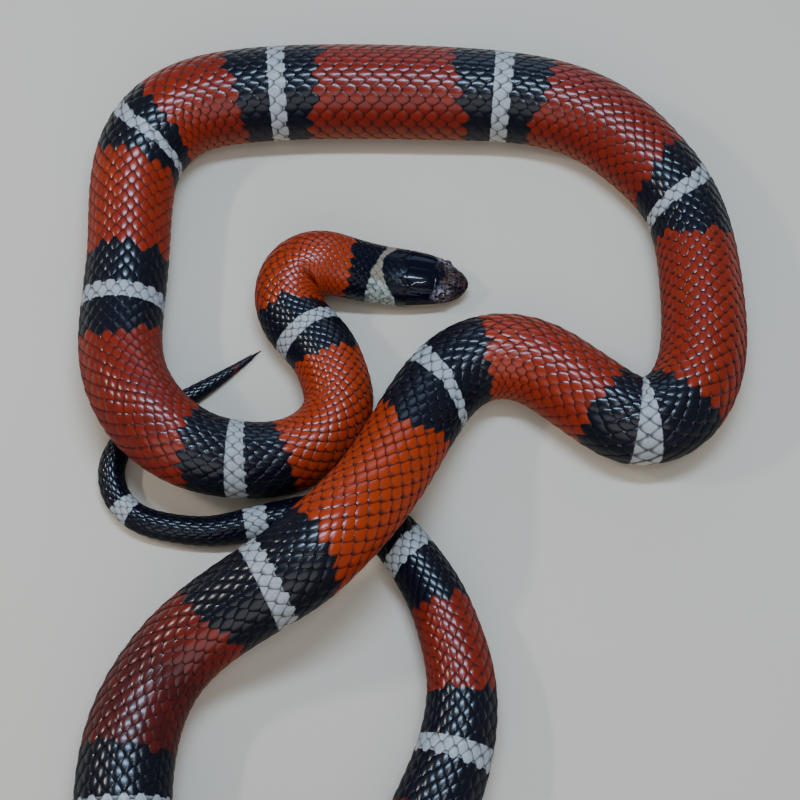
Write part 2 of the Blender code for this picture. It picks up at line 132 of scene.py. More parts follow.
# How far the rims of scales and of scutes turn down, as a share of their thickness
SCALE_RIM = 0.4
SCUTE_RIM = 0.5
# How far a scale's middle keeps from the plates of the head, as a share of its pitch
HEAD_GAP = 0.35
# Drawn skin makes the scales shorter: least and greatest strain that counts, and how strongly
STRAIN_LIMITS = (0.8, 1.5)
STRAIN_POWER = 0.8
# Where the flat scales behind the head give way to full ones, and their relief as a share of the full one
SMOOTH_NAPE = (20, 31)
NAPE_RELIEF = 0.12
# A scute's length as a share of its pitch, how much shorter and narrower its ends are, and how deep it lies
SCUTE_LENGTH = 1.3
SCUTE_TAPER = 0.45
SCUTE_ROUNDING = 0.03
SCUTE_DEPTH = 0.03
# How far scutes reach past the lowest row of scales, in rows, and past the middle under the tail, in degrees
SCUTE_LAP = 0.42
PAIR_LAP = 0.6
# Patches of the bake's map, as shares of a pitch and a row: middle along, half the length, half the width
TOP_PATCH = (-0.13, 0.28, 0.38)
RIM_PATCH = (-0.13, 0.33, 0.45)
UNDER_PATCH = (0.34, 0.09, 0.18)
SCUTE_TOP_PATCH = (-0.13, 0.27)
SCUTE_UNDER_PATCH = (0.27, 0.09)

# Borders of the ring on the nape: angle from the back's middle, and length from the snout
NAPE_FRONT = [(-100, 19.2), (-62, 20.0), (-40, 21.8), (-21, 23.0), (0, 23.5), (15, 23.0), (34, 21.0),
              (44, 20.3), (60, 19.9), (100, 21.2)]
NAPE_REAR = [(-100, 27.5), (-50, 27.0), (-26, 26.3), (-10, 26.1), (3, 25.0), (20, 23.9), (37, 23.0),
             (63, 22.3), (100, 23.2)]
# Rings: where black starts, white starts, white ends and black ends. Three numbers are one border on the
# left, in the middle and on the right of the back, going from snout to tail. All else is red.
RINGS = [
    (-30, NAPE_FRONT, NAPE_REAR, 31.9),
    ((64.2, 58.1, 58.1), (66.7, 65, 65), (70.3, 68.8, 68.8), (77.1, 77.1, 74.3)),
    (111.2, 121.1, 125.6, (133.2, 136.7, 136.7)),
    ((174.7, 172.6, 176.2), 184, 188.6, 199.7),
    ((229.5, 227.7, 225.2), (238.6, 233.8, 229.8), (242.2, 237.3, 233.3), (245.7, 243.4, 240.4)),
    ((264.4, 265.4, 268.4), 276.5, 281.1, (290.7, 290.7, 287.6)),
    ((328.1, 328.1, 332.1), 339.5, 344.5, (355.4, 355.4, 351.3)),
    ((390.3, 393.3, 397.4), (398.4, 402.9, 405.9), (402.4, 407, 410.2), (418.6, 418.6, 415.8)),
    (465.6, 476.7, 480.8, 490.6),
    ((528.5, 525.3, 525.3), (544.7, 537.9, 535.4), (548.3, 542.2, 540.2), (555.3, 558.4, 552.3)),
    ((600.8, 596.3, 596.3), 610.7, 615.7, (625.9, 631.2, 631.2)),
    (666.3, 678.9, 683.7, 695.9),
    (730.8, 742.9, 747.4, 758.8),
    (795, 808.9, 813.9, 826.3),
    (849.8, (861.9, 863.5, 864.7), (867.2, 868.8, 869.8), 889),
    (885, 906.4, 912.2, 929),
    (925, 942.6, 947.1, 1000.6),
    (1002.2, 1030, 1031, 1040),
]
# Warmth of the red along the body: 0 is maroon, 0.5 is brick red and 1 is orange red
WARMTH = [(0, 0.85), (115, 0.85), (145, 0.36), (175, 0.5), (235, 0.7), (262, 0.42), (400, 0.42), (425, 0.55),
          (505, 0.6), (545, 0.85), (570, 1), (600, 0.9), (632, 0.3), (645, 0.08), (668, 0.05), (705, 0.4),
          (950, 0.45), (1000, 0)]
# A border bows from the back's middle to the flanks by this power of the angle's sine
BORDER_BOW = 1.4
# A border runs partly along whole scales: shares of a point's own length and of its scale's seat
WHITE_BLEND = (0.76, 0.24)
BLACK_BLEND = (0.2, 0.8)
# The nape's ring turns from spotted white to tan between these angles, and both end at this length
TAN_ANGLES = (-37, -27)
TAN_END = 32.0
# Angles from the back's middle between which the red and the black pale, and the scales and plates lose gloss
PALE_RED = (78, 118)
PALE_BLACK = (74, 118)
DULL_SCALES = (35, 70)
DULL_PLATES = (66, 92)

# Plates of one side of the head: corners as length from the snout and angle from the crown's middle
PLATES = {
    "rostral": [(-1.2, -40), (0.8, -40), (0.8, 0), (0.85, 32), (0.72, 60), (0.7, 78), (0.55, 97), (-1.2, 97)],
    "internasal": [(0.8, 0), (0.85, 32), (1.6, 45), (2.75, 40), (2.5, 0)],
    "nasal": [(0.85, 32), (1.6, 45), (2.75, 40), (3.2, 54), (3.3, 80), (0.7, 78), (0.72, 60)],
    "prefrontal": [(2.5, 0), (2.75, 40), (3.2, 54), (4.5, 58), (5.1, 44), (5.5, 14), (5.1, 0)],
    "loreal": [(3.2, 54), (4.5, 58), (4.4, 81), (3.3, 80)],
    "preocular": [(4.5, 58), (5.1, 44), (5.9, 52), (5.9, 82), (4.4, 81)],
    "frontal": [(5.1, 0), (5.5, 14), (8.9, 11), (10.6, 0), (8.9, -11), (5.5, -14)],
    "supraocular": [(5.1, 44), (5.5, 14), (8.9, 11), (9.2, 47), (7.6, 60), (5.9, 60)],
    "upper postocular": [(7.0, 58), (7.6, 56), (9.2, 47), (9.5, 66), (7.0, 68)],
    "lower postocular": [(7.0, 68), (9.5, 66), (9.2, 83), (7.0, 83)],
    "parietal": [(10.6, 0), (8.9, 11), (9.2, 47), (12.6, 46), (15.4, 38), (16.9, 17), (16.2, 0)],
    "upper front temporal": [(9.2, 47), (12.6, 46), (12.9, 65), (9.5, 66)],
    "lower front temporal": [(9.5, 66), (12.9, 65), (12.6, 83), (9.2, 83)],
    "upper rear temporal": [(12.6, 46), (15.4, 38), (16.2, 52), (12.8, 58)],
    "middle rear temporal": [(12.8, 58), (16.2, 52), (16.3, 69), (12.9, 71)],
    "lower rear temporal": [(12.9, 71), (16.3, 69), (16.2, 83), (12.6, 83)],
    "mental": [(-1.2, 103), (0.8, 103), (1.3, 150), (1.4, 180), (1.3, 210), (-1.2, 210)],
    "front chin shield": [(1.4, 180), (1.3, 150), (2.2, 122), (5.6, 122), (6.4, 180)],
    "rear chin shield": [(6.4, 180), (5.6, 122), (8.4, 126), (11.2, 150), (10.4, 180)],
}
# Lengths that part the plates along the upper and the lower lip, and the angles between which they lie
UPPER_LABIALS = [0.62, 1.95, 3.4, 5.1, 7.3, 9.8, 12.9, 16.6]
UPPER_LABIAL_ANGLES = (82.5, 97.5)
LOWER_LABIALS = [0.8, 2.1, 3.5, 5.1, 7.0, 9.2, 11.6, 14.2, 16.8]
LOWER_LABIAL_ANGLES = (102.5, 121.0)
# Where the plates of the head end and rows of scales begin, by angle from the crown's middle
HEAD_EDGE = [(0, 16.4), (17, 17.0), (38, 15.6), (52, 16.3), (84, 16.4), (92, 17.6), (108, 17.4), (124, 12),
             (180, 10.8)]
# Rise of a plate's middle as a share of the rise at its edge, and how far inside the edge it is reached
PLATE_CROWN = 0.25
PLATE_CROWN_REACH = 1.6
# Slope at the rear edge of the plates, from before the edge to behind it
PLATES_END_SLOPE = (-0.2, 1.2)
# Angle of the line of the mouth, its end, how far before that it begins to close, and its slope on each side
MOUTH_ANGLE = 100.0
MOUTH_END = 17.6
MOUTH_CLOSES = 1.2
MOUTH_SLOPE = (0.08, 0.3)
# A nostril's stretch along and around the head, its slope, and its rim's place, width and height
NOSTRIL_STRETCH = (1.0, 1.25)
NOSTRIL_SLOPE = (0.18, 0.52)
NOSTRIL_RIM = (0.62, 0.16)
NOSTRIL_RIM_RISE = 0.1
# An eye's socket: its slope inside and outside the eye's edge, its depth, and the place and width of its fold
SOCKET_SLOPE = (0.12, 0.2)
SOCKET_DEPTH = 0.55
ORBIT_RIDGE = (0.3, 0.2)
# Places on the head, as length from the snout and angle from the crown's middle, and the reach of two of them
EYE_PLACE = (6.3, 68.0)
NOSTRIL_PLACE = (1.9, 64.0)
CHEEK_PLACE = (6.8, 60.0)
CHEEK_REACH = 3.6
THROAT_PLACE = (14.0, 180.0)
THROAT_REACH = 12.0
# Radius of an eye, how deep its middle lies, its pupil's colour, and the node and side of each eye
EYE_RADIUS = 1.35
EYE_SUNK = 1.0
PUPIL_BLACK = (0.002, 0.002, 0.002)
EYES = [("eye_left", 1), ("eye_right", -1)]

# Rings of the skin: start, end and step where they lie close, then their number on the trunk and the tip
HEAD_SKIN_END = 26.0
CLOSE_RINGS = [(0, 3, 0.125), (3, 18, 0.17), (18, HEAD_SKIN_END, 0.5)]
TRUNK_RINGS = 424
TIP_RINGS = 9
LAST_RING = 0.35
# Lines of the skin on one side, closest at the lips: start and end as angles, and their number
SKIN_LINES = [(0, 54, 22), (54, 126, 50)]
BELLY_LINES = (126, 180, 9)
# Length at which the head's relief has ended, and the lengths over which the skin rises to the bare tip
RELIEF_END = HEAD_SKIN_END - 0.6
BARE_TIP = (TAIL_SPINE - 3, TAIL_SPINE)
# Shares of the skin's map that the head and the rest of the body take
HEAD_MAP_SHARE = 0.4
TRUNK_MAP_SHARE = 0.58


def smooth_table(pairs, at):
    """Values of a table of pairs at the lengths `at`, without overshoot between its rows."""
    x, y = (np.array(column, float) for column in zip(*pairs))
    step = np.diff(x)
    slope = np.diff(y) / step
    alike = slope[:-1] * slope[1:] > 0
    mean = np.where(alike, 2 * slope[:-1] * slope[1:] / np.where(alike, slope[:-1] + slope[1:], 1), 0)
    tangent = np.concatenate([slope[:1], mean, slope[-1:]])
    row = np.clip(np.searchsorted(x, at, side="right") - 1, 0, len(x) - 2)
    t = (at - x[row]) / step[row]
    return ((1 + 2 * t) * (1 - t) ** 2 * y[row] + t * (1 - t) ** 2 * step[row] * tangent[row]
            + t * t * (3 - 2 * t) * y[row + 1] + t * t * (t - 1) * step[row] * tangent[row + 1])


def table(pairs, at):
    """Values of a table of pairs at the lengths `at`, straight between its rows."""
    x, y = zip(*pairs)
    return np.interp(at, x, y)


def ease(low, high, value):
    """0 below `low`, 1 above `high`, and a smooth step between them."""
    t = np.clip((value - low) / (high - low), 0, 1)
    return t * t * (3 - 2 * t)


def natural_spline(points, count):
    """`count` places along the smooth curve through the points, which bends evenly at each of them."""
    points = np.array(points, float)
    knots = np.concatenate([[0], np.cumsum(np.linalg.norm(np.diff(points, axis=0), axis=1))])
    step = np.diff(knots)
    size = len(points)
    system = np.eye(size)
    target = np.zeros_like(points)
    slopes = np.diff(points, axis=0) / step[:, None]
    for i in range(1, size - 1):
        system[i, i - 1:i + 2] = step[i - 1], 2 * (step[i - 1] + step[i]), step[i]
        target[i] = 6 * (slopes[i] - slopes[i - 1])
    bending = np.linalg.solve(system, target)
    at = np.linspace(0, knots[-1], count)
    row = np.clip(np.searchsorted(knots, at, side="right") - 1, 0, size - 2)
    span = step[row][:, None]
    before = ((knots[row + 1] - at) / step[row])[:, None]
    after = 1 - before
    bow = (before ** 3 - before) * bending[row] + (after ** 3 - after) * bending[row + 1]
    return before * points[row] + after * points[row + 1] + bow * span ** 2 / 6


class Body:
    """The line along the belly, with the width and height of the body at each length from the snout."""

    def __init__(self):
        line = natural_spline(np.array(LAY) - LAY_ORIGIN, LINE_POINTS)
        run = np.concatenate([[0], np.cumsum(np.linalg.norm(np.diff(line, axis=0), axis=1))])
        self.length = float(run[-1])
        self.at = np.linspace(0, self.length, KEPT_POINTS)
        self.line = np.stack([np.interp(self.at, run, line[:, k]) for k in (0, 1)], axis=1)
        ahead = np.gradient(self.line, self.at, axis=0)
        self.heading = np.unwrap(np.arctan2(ahead[:, 1], ahead[:, 0]))
        self.turn = np.gradient(self.heading, self.at)
        pitch = smooth_table(PITCH, self.at)
        self.count = np.concatenate([[0], np.cumsum(np.diff(self.at) * 2 / (pitch[1:] + pitch[:-1]))])

    def rise(self, at):
        """Height of the belly over the floor."""
        height = SNOUT_RISE * np.clip(1 - at / SNOUT_RISE_LENGTH, 0, 1) ** 3
        for middle, half, top in RISES:
            share = np.clip((at - middle) / half, -1, 1)
            height = height + top * np.cos(share * math.pi / 2) ** 2
        return height

    def surface(self, at, angle, out=0.0):
        """Points in metres at lengths from the snout and angles from the back's middle, moved outward."""
        at, angle, out = np.broadcast_arrays(np.asarray(at, float), np.radians(angle), np.asarray(out, float))
        half = smooth_table(WIDTH, at) / 2
        sine, cosine = np.sin(angle), np.cos(angle)
        power = np.where(cosine >= 0, 2 / smooth_table(BACK_FULLNESS, at), 2 / FLANK_FULLNESS)
        across = np.sign(sine) * np.abs(sine) ** power
        rounded = np.abs(cosine) ** power
        keel = smooth_table(KEEL, at)
        up = np.where(cosine >= 0, smooth_table(CROWN, at) * rounded,
                      -keel * np.minimum(rounded, FLAT_SHARE) / FLAT_SHARE)
        turn = np.interp(at, self.at, self.turn)
        crowding = np.abs(turn) * half
        folded = (across * turn < 0) & (crowding > FOLD_SHARE)
        across = np.where(folded, across * FOLD_SHARE / np.maximum(crowding, FOLD_SHARE), across)
        heading = np.interp(at, self.at, self.heading)
        side = half * across + out * sine
        x = np.interp(at, self.at, self.line[:, 0]) + np.sin(heading) * side
        y = np.interp(at, self.at, self.line[:, 1]) - np.cos(heading) * side
        z = self.rise(at) + half * (keel + up) + out * cosine
        return np.stack([x, y, z], axis=-1) * MM

    def stretch(self, at, angle):
        """How much longer than the middle line the body is at an angle, as on the outside of a bend."""
        step = 0.4
        near, far = (self.surface(at + move, angle) for move in (-step, step))
        return np.linalg.norm(far - near, axis=-1) / (2 * step * MM)

    def seat(self, number):
        """Length from the snout at which the scale of a number sits in its row."""
        return np.interp(number, self.count, self.at)

    def coat(self, at):
        """Thickness and rise of the scales as a share of the full ones."""
        return np.clip(smooth_table(PITCH, at) / FULL_PITCH, *COAT_LIMITS)


BODY = Body()


def row_angle(at, row):
    """Angle of a row of scales from the back's middle. Rows widen down the flanks."""
    share = row * smooth_table(ROW_SPACING, at) / FLANK_END
    return FLANK_END * share * (1 - ROW_CROWDING + ROW_CROWDING * np.abs(share))


def border(mark, angle):
    """A ring's border: one length, those on the left, back and right, or a table of lengths by angle."""
    if isinstance(mark, (int, float)):
        return np.full(np.shape(angle), float(mark))
    if isinstance(mark, list):
        return table(mark, (np.asarray(angle) + 180) % 360 - 180)
    left, middle, right = mark
    sine = np.sin(np.radians(angle))
    side = np.where(sine < 0, left, right)
    return middle + (side - middle) * np.abs(sine) ** BORDER_BOW


def markings(at, angle, seat=None):
    """How far inside a white ring and inside the red each point is, for a scale's points with its seat."""
    seat = at if seat is None else seat

    def inside(blend, start, end):
        """How far each point is from the nearer of two borders, and below 0 outside them."""
        cut = at * blend[0] + seat * blend[1]
        return np.minimum(cut - border(start, angle), border(end, angle) - cut)

    white = [inside(WHITE_BLEND, start, end) for _, start, end, _ in RINGS]
    black = [inside(BLACK_BLEND, start, end) for start, _, _, end in RINGS]
    return np.max(white, axis=0), -np.max(black, axis=0)


def head_edge(angle):
    """Length from the snout at which the plates of the head end."""
    return table(HEAD_EDGE, np.abs((np.asarray(angle) + 180) % 360 - 180))


def region(at, angle):
    """Warmth of the red, strain of the skin, and the nape's ring: 1 where tan and -1 where spotted."""
    at, signed = np.broadcast_arrays(at, (np.asarray(angle) + 180) % 360 - 180)
    nape = np.where(at < TAN_END, 2 * ease(*TAN_ANGLES, signed) - 1, 0)
    return table(WARMTH, at), BODY.stretch(at, signed), nape


def finished_mesh(mesh, name):
    """A named mesh from a bmesh, which is freed."""
    data = bpy.data.meshes.new(name)
    mesh.to_mesh(data)
    mesh.free()
    return data


def set_attribute(mesh, name, columns):
    """Stores three numbers for each vertex."""
    values = np.stack(np.broadcast_arrays(*columns), axis=-1)
    attribute = mesh.attributes.new(name, "FLOAT_VECTOR", "POINT")
    attribute.data.foreach_set("vector", values.astype(np.float32).ravel())


def set_bake_map(mesh, corners):
    """Stores the map that a bake uses, with one place for each face corner."""
    layer = mesh.uv_layers.new(name="OFBake")
    layer.uv.foreach_set("vector", np.asarray(corners, np.float32).ravel())


def coordinates(mesh):
    """Places of a mesh's vertices."""
    values = np.zeros(len(mesh.vertices) * 3, np.float32)
    mesh.vertices.foreach_get("co", values)
    return values.reshape(-1, 3).astype(float)


def corner_vertices(mesh):
    """Vertex number of each face corner."""
    values = np.zeros(len(mesh.loops), np.int32)
    mesh.loops.foreach_get("vertex_index", values)
    return values


def new_object(name, data):
    """A new object in the scene, at the origin."""
    thing = bpy.data.objects.new(name, data)
    bpy.context.scene.collection.objects.link(thing)
    return thing


def place_piece(name, mesh, material):
    """A finished piece, which rides on the one body of the model."""
    thing = new_object(name, mesh)
    mesh.materials.append(material)
    mesh.shade_smooth()
    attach(thing, "root")
    return thing


# Materials

def arithmetic(operation):
    """A Math node's operator on wires, and its reflected form."""
    return (lambda self, other: self.math(operation, self, other),
            lambda self, other: self.math(operation, other, self))


class Wire:
    """A socket of a material's nodes. Arithmetic on it adds Math nodes."""

    __add__, __radd__ = arithmetic("ADD")
    __sub__, __rsub__ = arithmetic("SUBTRACT")
    __mul__, __rmul__ = arithmetic("MULTIPLY")

    def __init__(self, finish, socket):
        self.finish = finish
        self.socket = socket

    def __abs__(self):
        return self.math("ABSOLUTE", self)

    def math(self, operation, *values):
        """A Math node on numbers and wires."""
        return self.finish.add("ShaderNodeMath", {"operation": operation}, dict(enumerate(values)))


class Finish:
    """A material being put together: its Principled shader and what feeds it."""

    def __init__(self, name):
        self.material = bpy.data.materials.new(name)
        self.material.use_nodes = True
        self.tree = self.material.node_tree
        self.shader = self.tree.nodes["Principled BSDF"]

    def add(self, kind, settings=None, sockets=None, output=0):
        """One node: its settings first, then the values or links of its sockets. Gives one output."""
        node = self.tree.nodes.new(kind)
        for key, value in (settings or {}).items():
            setattr(node, key, value)
        for key, value in (sockets or {}).items():
            self.feed(node.inputs[key], value)
        return Wire(self, node.outputs[output])

    def feed(self, socket, value):
        """Links a socket to a wire, or sets it to a number or a colour."""
        if isinstance(value, Wire):
            self.tree.links.new(value.socket, socket)
        elif hasattr(value, "__len__") and len(value) == 3 and socket.type == "RGBA":
            socket.default_value = (*value, 1)
        else:
            socket.default_value = value

    def shade(self, **sockets):
        """Sets or links the shader's own sockets, named with underscores for spaces."""
        for key, value in sockets.items():
            self.feed(self.shader.inputs[key.replace("_", " ")], value)

    def step(self, value, low, high):
        """0 below `low`, 1 above `high`, and a smooth step between them."""
        return self.add("ShaderNodeMapRange", {"interpolation_type": "SMOOTHSTEP"},
                        {"Value": value, "From Min": low, "From Max": high})

    def ragged(self, value, grain, spread, low, high):
        """A step whose place wanders with a mottling, by half of `spread` either way."""
        return self.step(value + (grain - 0.5) * spread, low, high)

    def patches(self, low, high, size, *mottling):
        """0 and 1 in patches, where the mottling of a size is below `low` and above `high`."""
        return self.step(self.noise(size, *mottling), low, high)

    def mix(self, share, first, second):
        """A colour between two others."""
        return self.add("ShaderNodeMix", {"data_type": "RGBA"}, {"Factor": share, 6: first, 7: second}, 2)

    def read(self, name):
        """The three numbers that a piece stores at each vertex."""
        vector = self.add("ShaderNodeAttribute", {"attribute_name": name}, output="Vector")
        split = self.tree.nodes.new("ShaderNodeSeparateXYZ")
        self.tree.links.new(vector.socket, split.inputs[0])
        return [Wire(self, output) for output in split.outputs]

    def noise(self, size, detail=2.0, roughness=0.55, stretch=None):
        """Mottling with patches of about `size` millimetres, from 0 to 1, fixed to the object."""
        place = self.add("ShaderNodeTexCoord", output="Object")
        if stretch:
            place = self.add("ShaderNodeMapping", {}, {"Vector": place, "Scale": stretch})
        return self.add("ShaderNodeTexNoise", {}, {"Vector": place, "Scale": 1 / (size * MM),
                                                   "Detail": detail, "Roughness": roughness})

    def near(self, point, reach):
        """1 at a point of the model, falling to 0 at `reach` millimetres from it."""
        place = self.add("ShaderNodeTexCoord", output="Object")
        gap = self.add("ShaderNodeVectorMath", {"operation": "DISTANCE"}, {0: place, 1: point}, "Value")
        return 1 - self.step(gap, reach * MM * 0.45, reach * MM)

    def bump(self, height, distance):
        """A fine relief, `distance` millimetres deep, where `height` goes from 0 to 1."""
        return self.add("ShaderNodeBump", {}, {"Strength": 1.0, "Distance": distance * MM, "Height": height})


def band_colours(finish, colours, bands, area, tint):
    """The colour of the rings, red, black and white, with shares for the white and for the red."""
    white, red, flank = bands
    warmth, _, nape = area
    grain = finish.noise(0.7)
    warm = warmth + (tint - 0.5) * 0.16
    scarlet = finish.mix(finish.step(warm, -0.1, 0.6), colours.maroon, colours.red)
    scarlet = finish.mix(finish.step(warm, 0.45, 1.05), scarlet, colours.orange)
    low = finish.ragged(flank, grain, 12, *PALE_RED)
    scarlet = finish.mix(low * 0.7, scarlet, colours.low_red)
    dark = finish.mix(finish.ragged(flank, grain, 20, *PALE_BLACK) * 0.6, colours.black, colours.low_black)
    edge = finish.ragged(red, tint, 1.2, -0.06, 0.06)
    colour = finish.mix(edge, dark, scarlet)
    pale = finish.mix(finish.step(grain, 0.3, 0.8), colours.white, colours.white_shade)
    pale = finish.mix(low * 0.5, pale, colours.belly)
    pale = finish.mix(nape.math("MAXIMUM", nape, 0) * 0.85, pale, colours.tan)
    spotted = nape.math("MAXIMUM", nape * -1, 0)
    pale = finish.mix(spotted * 0.6, pale, colours.nape_green)
    spots = finish.patches(0.48, 0.6, 1.25, 2.0, 0.6) * spotted
    pale = finish.mix(spots * 0.75, pale, colours.white_tip)
    ring = finish.ragged(white, grain, 0.4, -0.1, 0.12)
    colour = finish.mix(ring, colour, pale)
    throat = finish.step(finish.near(BODY.surface(*THROAT_PLACE), THROAT_REACH), 0.1, 0.3)
    throat = throat * finish.ragged(flank, grain, 14, 104, 122)
    return finish.mix(throat * (1 - ring) * 0.85, colour, colours.belly), ring, edge


def scale_finish(colours):
    """Smooth, glossy scales, banded red, black and white, dusky at their tips and rims: partly their own
    colour, partly painted shade where they lap over each other.
    """
    finish = Finish("scale_finish")
    bands, area = finish.read("marking"), finish.read("region")
    along, reach, tint = finish.read("scale_place")
    colour, ring, edge = band_colours(finish, colours, bands, area, tint)
    # Each scale darkens towards its tip and round its rim: partly its own dusky tip, partly painted shade
    # where the scales lap over each other.
    speck = finish.noise(0.3)
    dusky_tip_and_shade = finish.step(along + (tint - 0.5) * 0.35 + (speck - 0.5) * 0.3, 0.48, 0.95)
    rim = finish.ragged(reach, speck, 0.12, 0.6, 0.96)
    tip = finish.mix(ring, finish.mix(edge, colour, colours.tip), colours.white_tip)
    colour = finish.mix(dusky_tip_and_shade * 0.72, colour, tip)
    colour = finish.mix(rim * 0.72, colour, tip)
    nape = abs(area[2])
    dull = finish.step(bands[2], *DULL_SCALES) * (1 - nape)
    gloss = finish.noise(1.6)
    finish.shade(Base_Color=colour, Roughness=0.23 + gloss * 0.1 + ring * 0.15 + edge * 0.03 + dull * 0.3,
                 Coat_Weight=(1 - dull * 0.85) * (0.46 - ring * 0.3) * (1 - nape * 0.8),
                 Coat_Roughness=0.21, Coat_IOR=1.5, IOR=1.2,
                 Normal=finish.bump(finish.noise(0.4, 3.0), 0.008))
    return finish.material


def face_colour(finish, colours, cheeks, flank, head_place, ring, tint):
    """The colour of the head's plates: black, with a mottled snout, lilac cheeks and cream lips and chin."""
    along, seam, _ = head_place
    snout = 1 - finish.ragged(along, finish.noise(2.6), 6, 5.0, 9.0)
    mottle = finish.patches(0.47, 0.66, 0.9, 4.0, 0.65, (0.45, 1.2, 1.2))
    brown = finish.mix(finish.patches(0.4, 0.62, 1.5, 3.0), colours.black, colours.snout)
    face = finish.mix(snout * 0.9, colours.black, brown)
    middle = finish.step(along, 2.4, 4.6) * snout
    face = finish.mix(middle * mottle * 0.5, face, colours.snout_pale)
    for place in cheeks:
        cheek = finish.near(place, CHEEK_REACH) * finish.patches(0.42, 0.62, 1.1, 4.0, 0.7)
        face = finish.mix(cheek * 0.8, face, colours.cheek)
    face = finish.mix(finish.step(flank, 98, 103) * 0.8, face, colours.belly)
    face = finish.mix(finish.ragged(flank, tint, 16, 120, 138) * 0.8, face, colours.belly)
    face = finish.mix(seam * 0.12, face, finish.mix(snout, colours.seam, colours.snout_pale))
    return finish.mix(ring, face, colours.white)


def skin_finish(colours, cheeks):
    """Skin between the scales, and the glossy black plates of the head with a mottled snout."""
    finish = Finish("skin_finish")
    bands, area, head_place = (finish.read(name) for name in ("marking", "region", "head_place"))
    flank, strain, plated = bands[2], area[1], head_place[2]
    tint = finish.noise(2.2)
    colour, ring, _ = band_colours(finish, colours, bands, area, tint)
    deep = finish.mix(0.6 - finish.step(flank, 112, 128) * 0.4, colour, colours.skin_dark)
    stretched = finish.ragged(strain, tint, 0.2, 1.06, 1.22)
    thin = finish.mix(stretched * 0.7, deep, colours.skin)
    face = face_colour(finish, colours, cheeks, flank, head_place, ring, tint)
    gloss = finish.noise(1.3)
    dull = finish.step(flank, *DULL_PLATES)
    finish.shade(Base_Color=finish.mix(plated, thin, face),
                 Roughness=0.17 + gloss * 0.1 + (1 - plated) * 0.3 + dull * plated * 0.3,
                 Coat_Weight=plated * (1 - dull * 0.8) * 0.25, Coat_Roughness=0.05, Coat_IOR=1.5, IOR=1.12,
                 Normal=finish.bump(finish.noise(0.5, 3.0), 0.006))
    return finish.material


def eye_finish(colours):
    """A dark iris round a black pupil, under a clear, wet-looking spectacle."""
    finish = Finish("eye_finish")
    across, _, _ = finish.read("eye_place")
    iris = finish.mix(finish.patches(0.35, 0.7, 0.25, 3.0), colours.iris, colours.iris_fleck)
    pupil = 1 - finish.step(across, 0.36, 0.42)
    edge = finish.step(across, 0.72, 0.92)
    colour = finish.mix(edge * 0.8, iris, colours.black)
    finish.shade(Base_Color=finish.mix(pupil, colour, PUPIL_BLACK), Roughness=0.2, IOR=1.15,
                 Coat_Weight=0.8, Coat_Roughness=0.03, Coat_IOR=1.45)
    return finish.material


def floor_finish(colour):
    """Plain pale studio floor, a little uneven in its shade."""
    finish = Finish("floor_finish")
    shaded = tuple(part * 0.93 for part in colour)
    finish.shade(Base_Color=finish.mix(finish.noise(90.0) * 0.25, colour, shaded), Roughness=0.9)
    return finish.material


# Shapes

def skin_rings():
    """Lengths of the skin's rings, closest on the head."""
    close = [np.arange(*stretch) for stretch in CLOSE_RINGS]
    trunk = np.linspace(HEAD_SKIN_END, TAIL_SPINE, TRUNK_RINGS)
    tip = np.linspace(TAIL_SPINE, BODY.length - LAST_RING, TIP_RINGS)[1:]
    return np.concatenate([*close, trunk, tip])


def skin_angles():
    """Angles of the skin's lines from the belly round the back to the belly again."""
    side = np.concatenate([*(np.linspace(*part, endpoint=False) for part in SKIN_LINES),
                           np.linspace(*BELLY_LINES)])
    return np.concatenate([-side[::-1], side[1:]])


def chart_maker(rings, angles, points):
    """A flat chart of the head: distances along and around it, in millimetres, at lengths and angles."""
    middle = len(angles) // 2
    around = np.linalg.norm(np.diff(points[:, middle:], axis=1), axis=-1) / MM
    around = np.concatenate([np.zeros((len(rings), 1)), np.cumsum(around, axis=1)], axis=1)
    profile = np.gradient(smooth_table(WIDTH, rings) / 2, rings)
    along = np.concatenate([[0], np.cumsum(np.hypot(1, profile[1:]) * np.diff(rings))])
    turned = angles[middle:]

    def chart(at, angle):
        """Places on the chart. Angles past the belly's middle lie beyond it."""
        at, angle = np.broadcast_arrays(np.asarray(at, float), np.asarray(angle, float))
        row = np.interp(at, rings, np.arange(len(rings)))
        ring = row.astype(int)
        share = row - ring
        next_ring = np.minimum(ring + 1, len(rings) - 1)

        def reach_of(column):
            """Distance around the head at a column of the lines, read between the nearest four points."""
            line = column.astype(int)
            part = column - line
            next_line = np.minimum(line + 1, len(turned) - 1)
            near, far = (around[each, line] * (1 - part) + around[each, next_line] * part
                         for each in (ring, next_ring))
            return near * (1 - share) + far * share

        folded = np.where(np.abs(angle) > 180, 360 - np.abs(angle), np.abs(angle))
        reach = reach_of(np.interp(folded, turned, np.arange(len(turned))))
        full = reach_of(np.full(at.shape, len(turned) - 1.0))
        reach = np.where(angle < 0, -reach, np.where(angle > 180, 2 * full - reach, reach))
        return np.stack([np.interp(at, rings, along) + np.minimum(at, 0), reach], axis=-1)

    return chart


def depth_inside(points, corners):
    """How far inside a closed outline each point is, and 0 outside it."""
    inside = np.zeros(len(points), bool)
    gap = np.full(len(points), 1e9)
    for start, end in zip(corners, np.roll(corners, -1, axis=0)):
        edge = end - start
        share = np.clip(((points - start) @ edge) / max(edge @ edge, 1e-9), 0, 1)
        gap = np.minimum(gap, np.linalg.norm(points - start - share[:, None] * edge, axis=1))
        crosses = (start[1] > points[:, 1]) != (end[1] > points[:, 1])
        lean = np.where(crosses, (points[:, 1] - start[1]) / (edge[1] if edge[1] else 1e-9), 0)
        inside ^= crosses & (points[:, 0] < start[0] + lean * edge[0])
    return np.where(inside, gap, 0)


def head_outlines():
    """Every plate of one side of the head, the labials made by rows."""
    yield from PLATES.values()
    for marks, (near, far) in ((UPPER_LABIALS, UPPER_LABIAL_ANGLES), (LOWER_LABIALS, LOWER_LABIAL_ANGLES)):
        for start, end in zip(marks, marks[1:]):
            yield [(start, near), (end, near), (end, far), (start, far)]


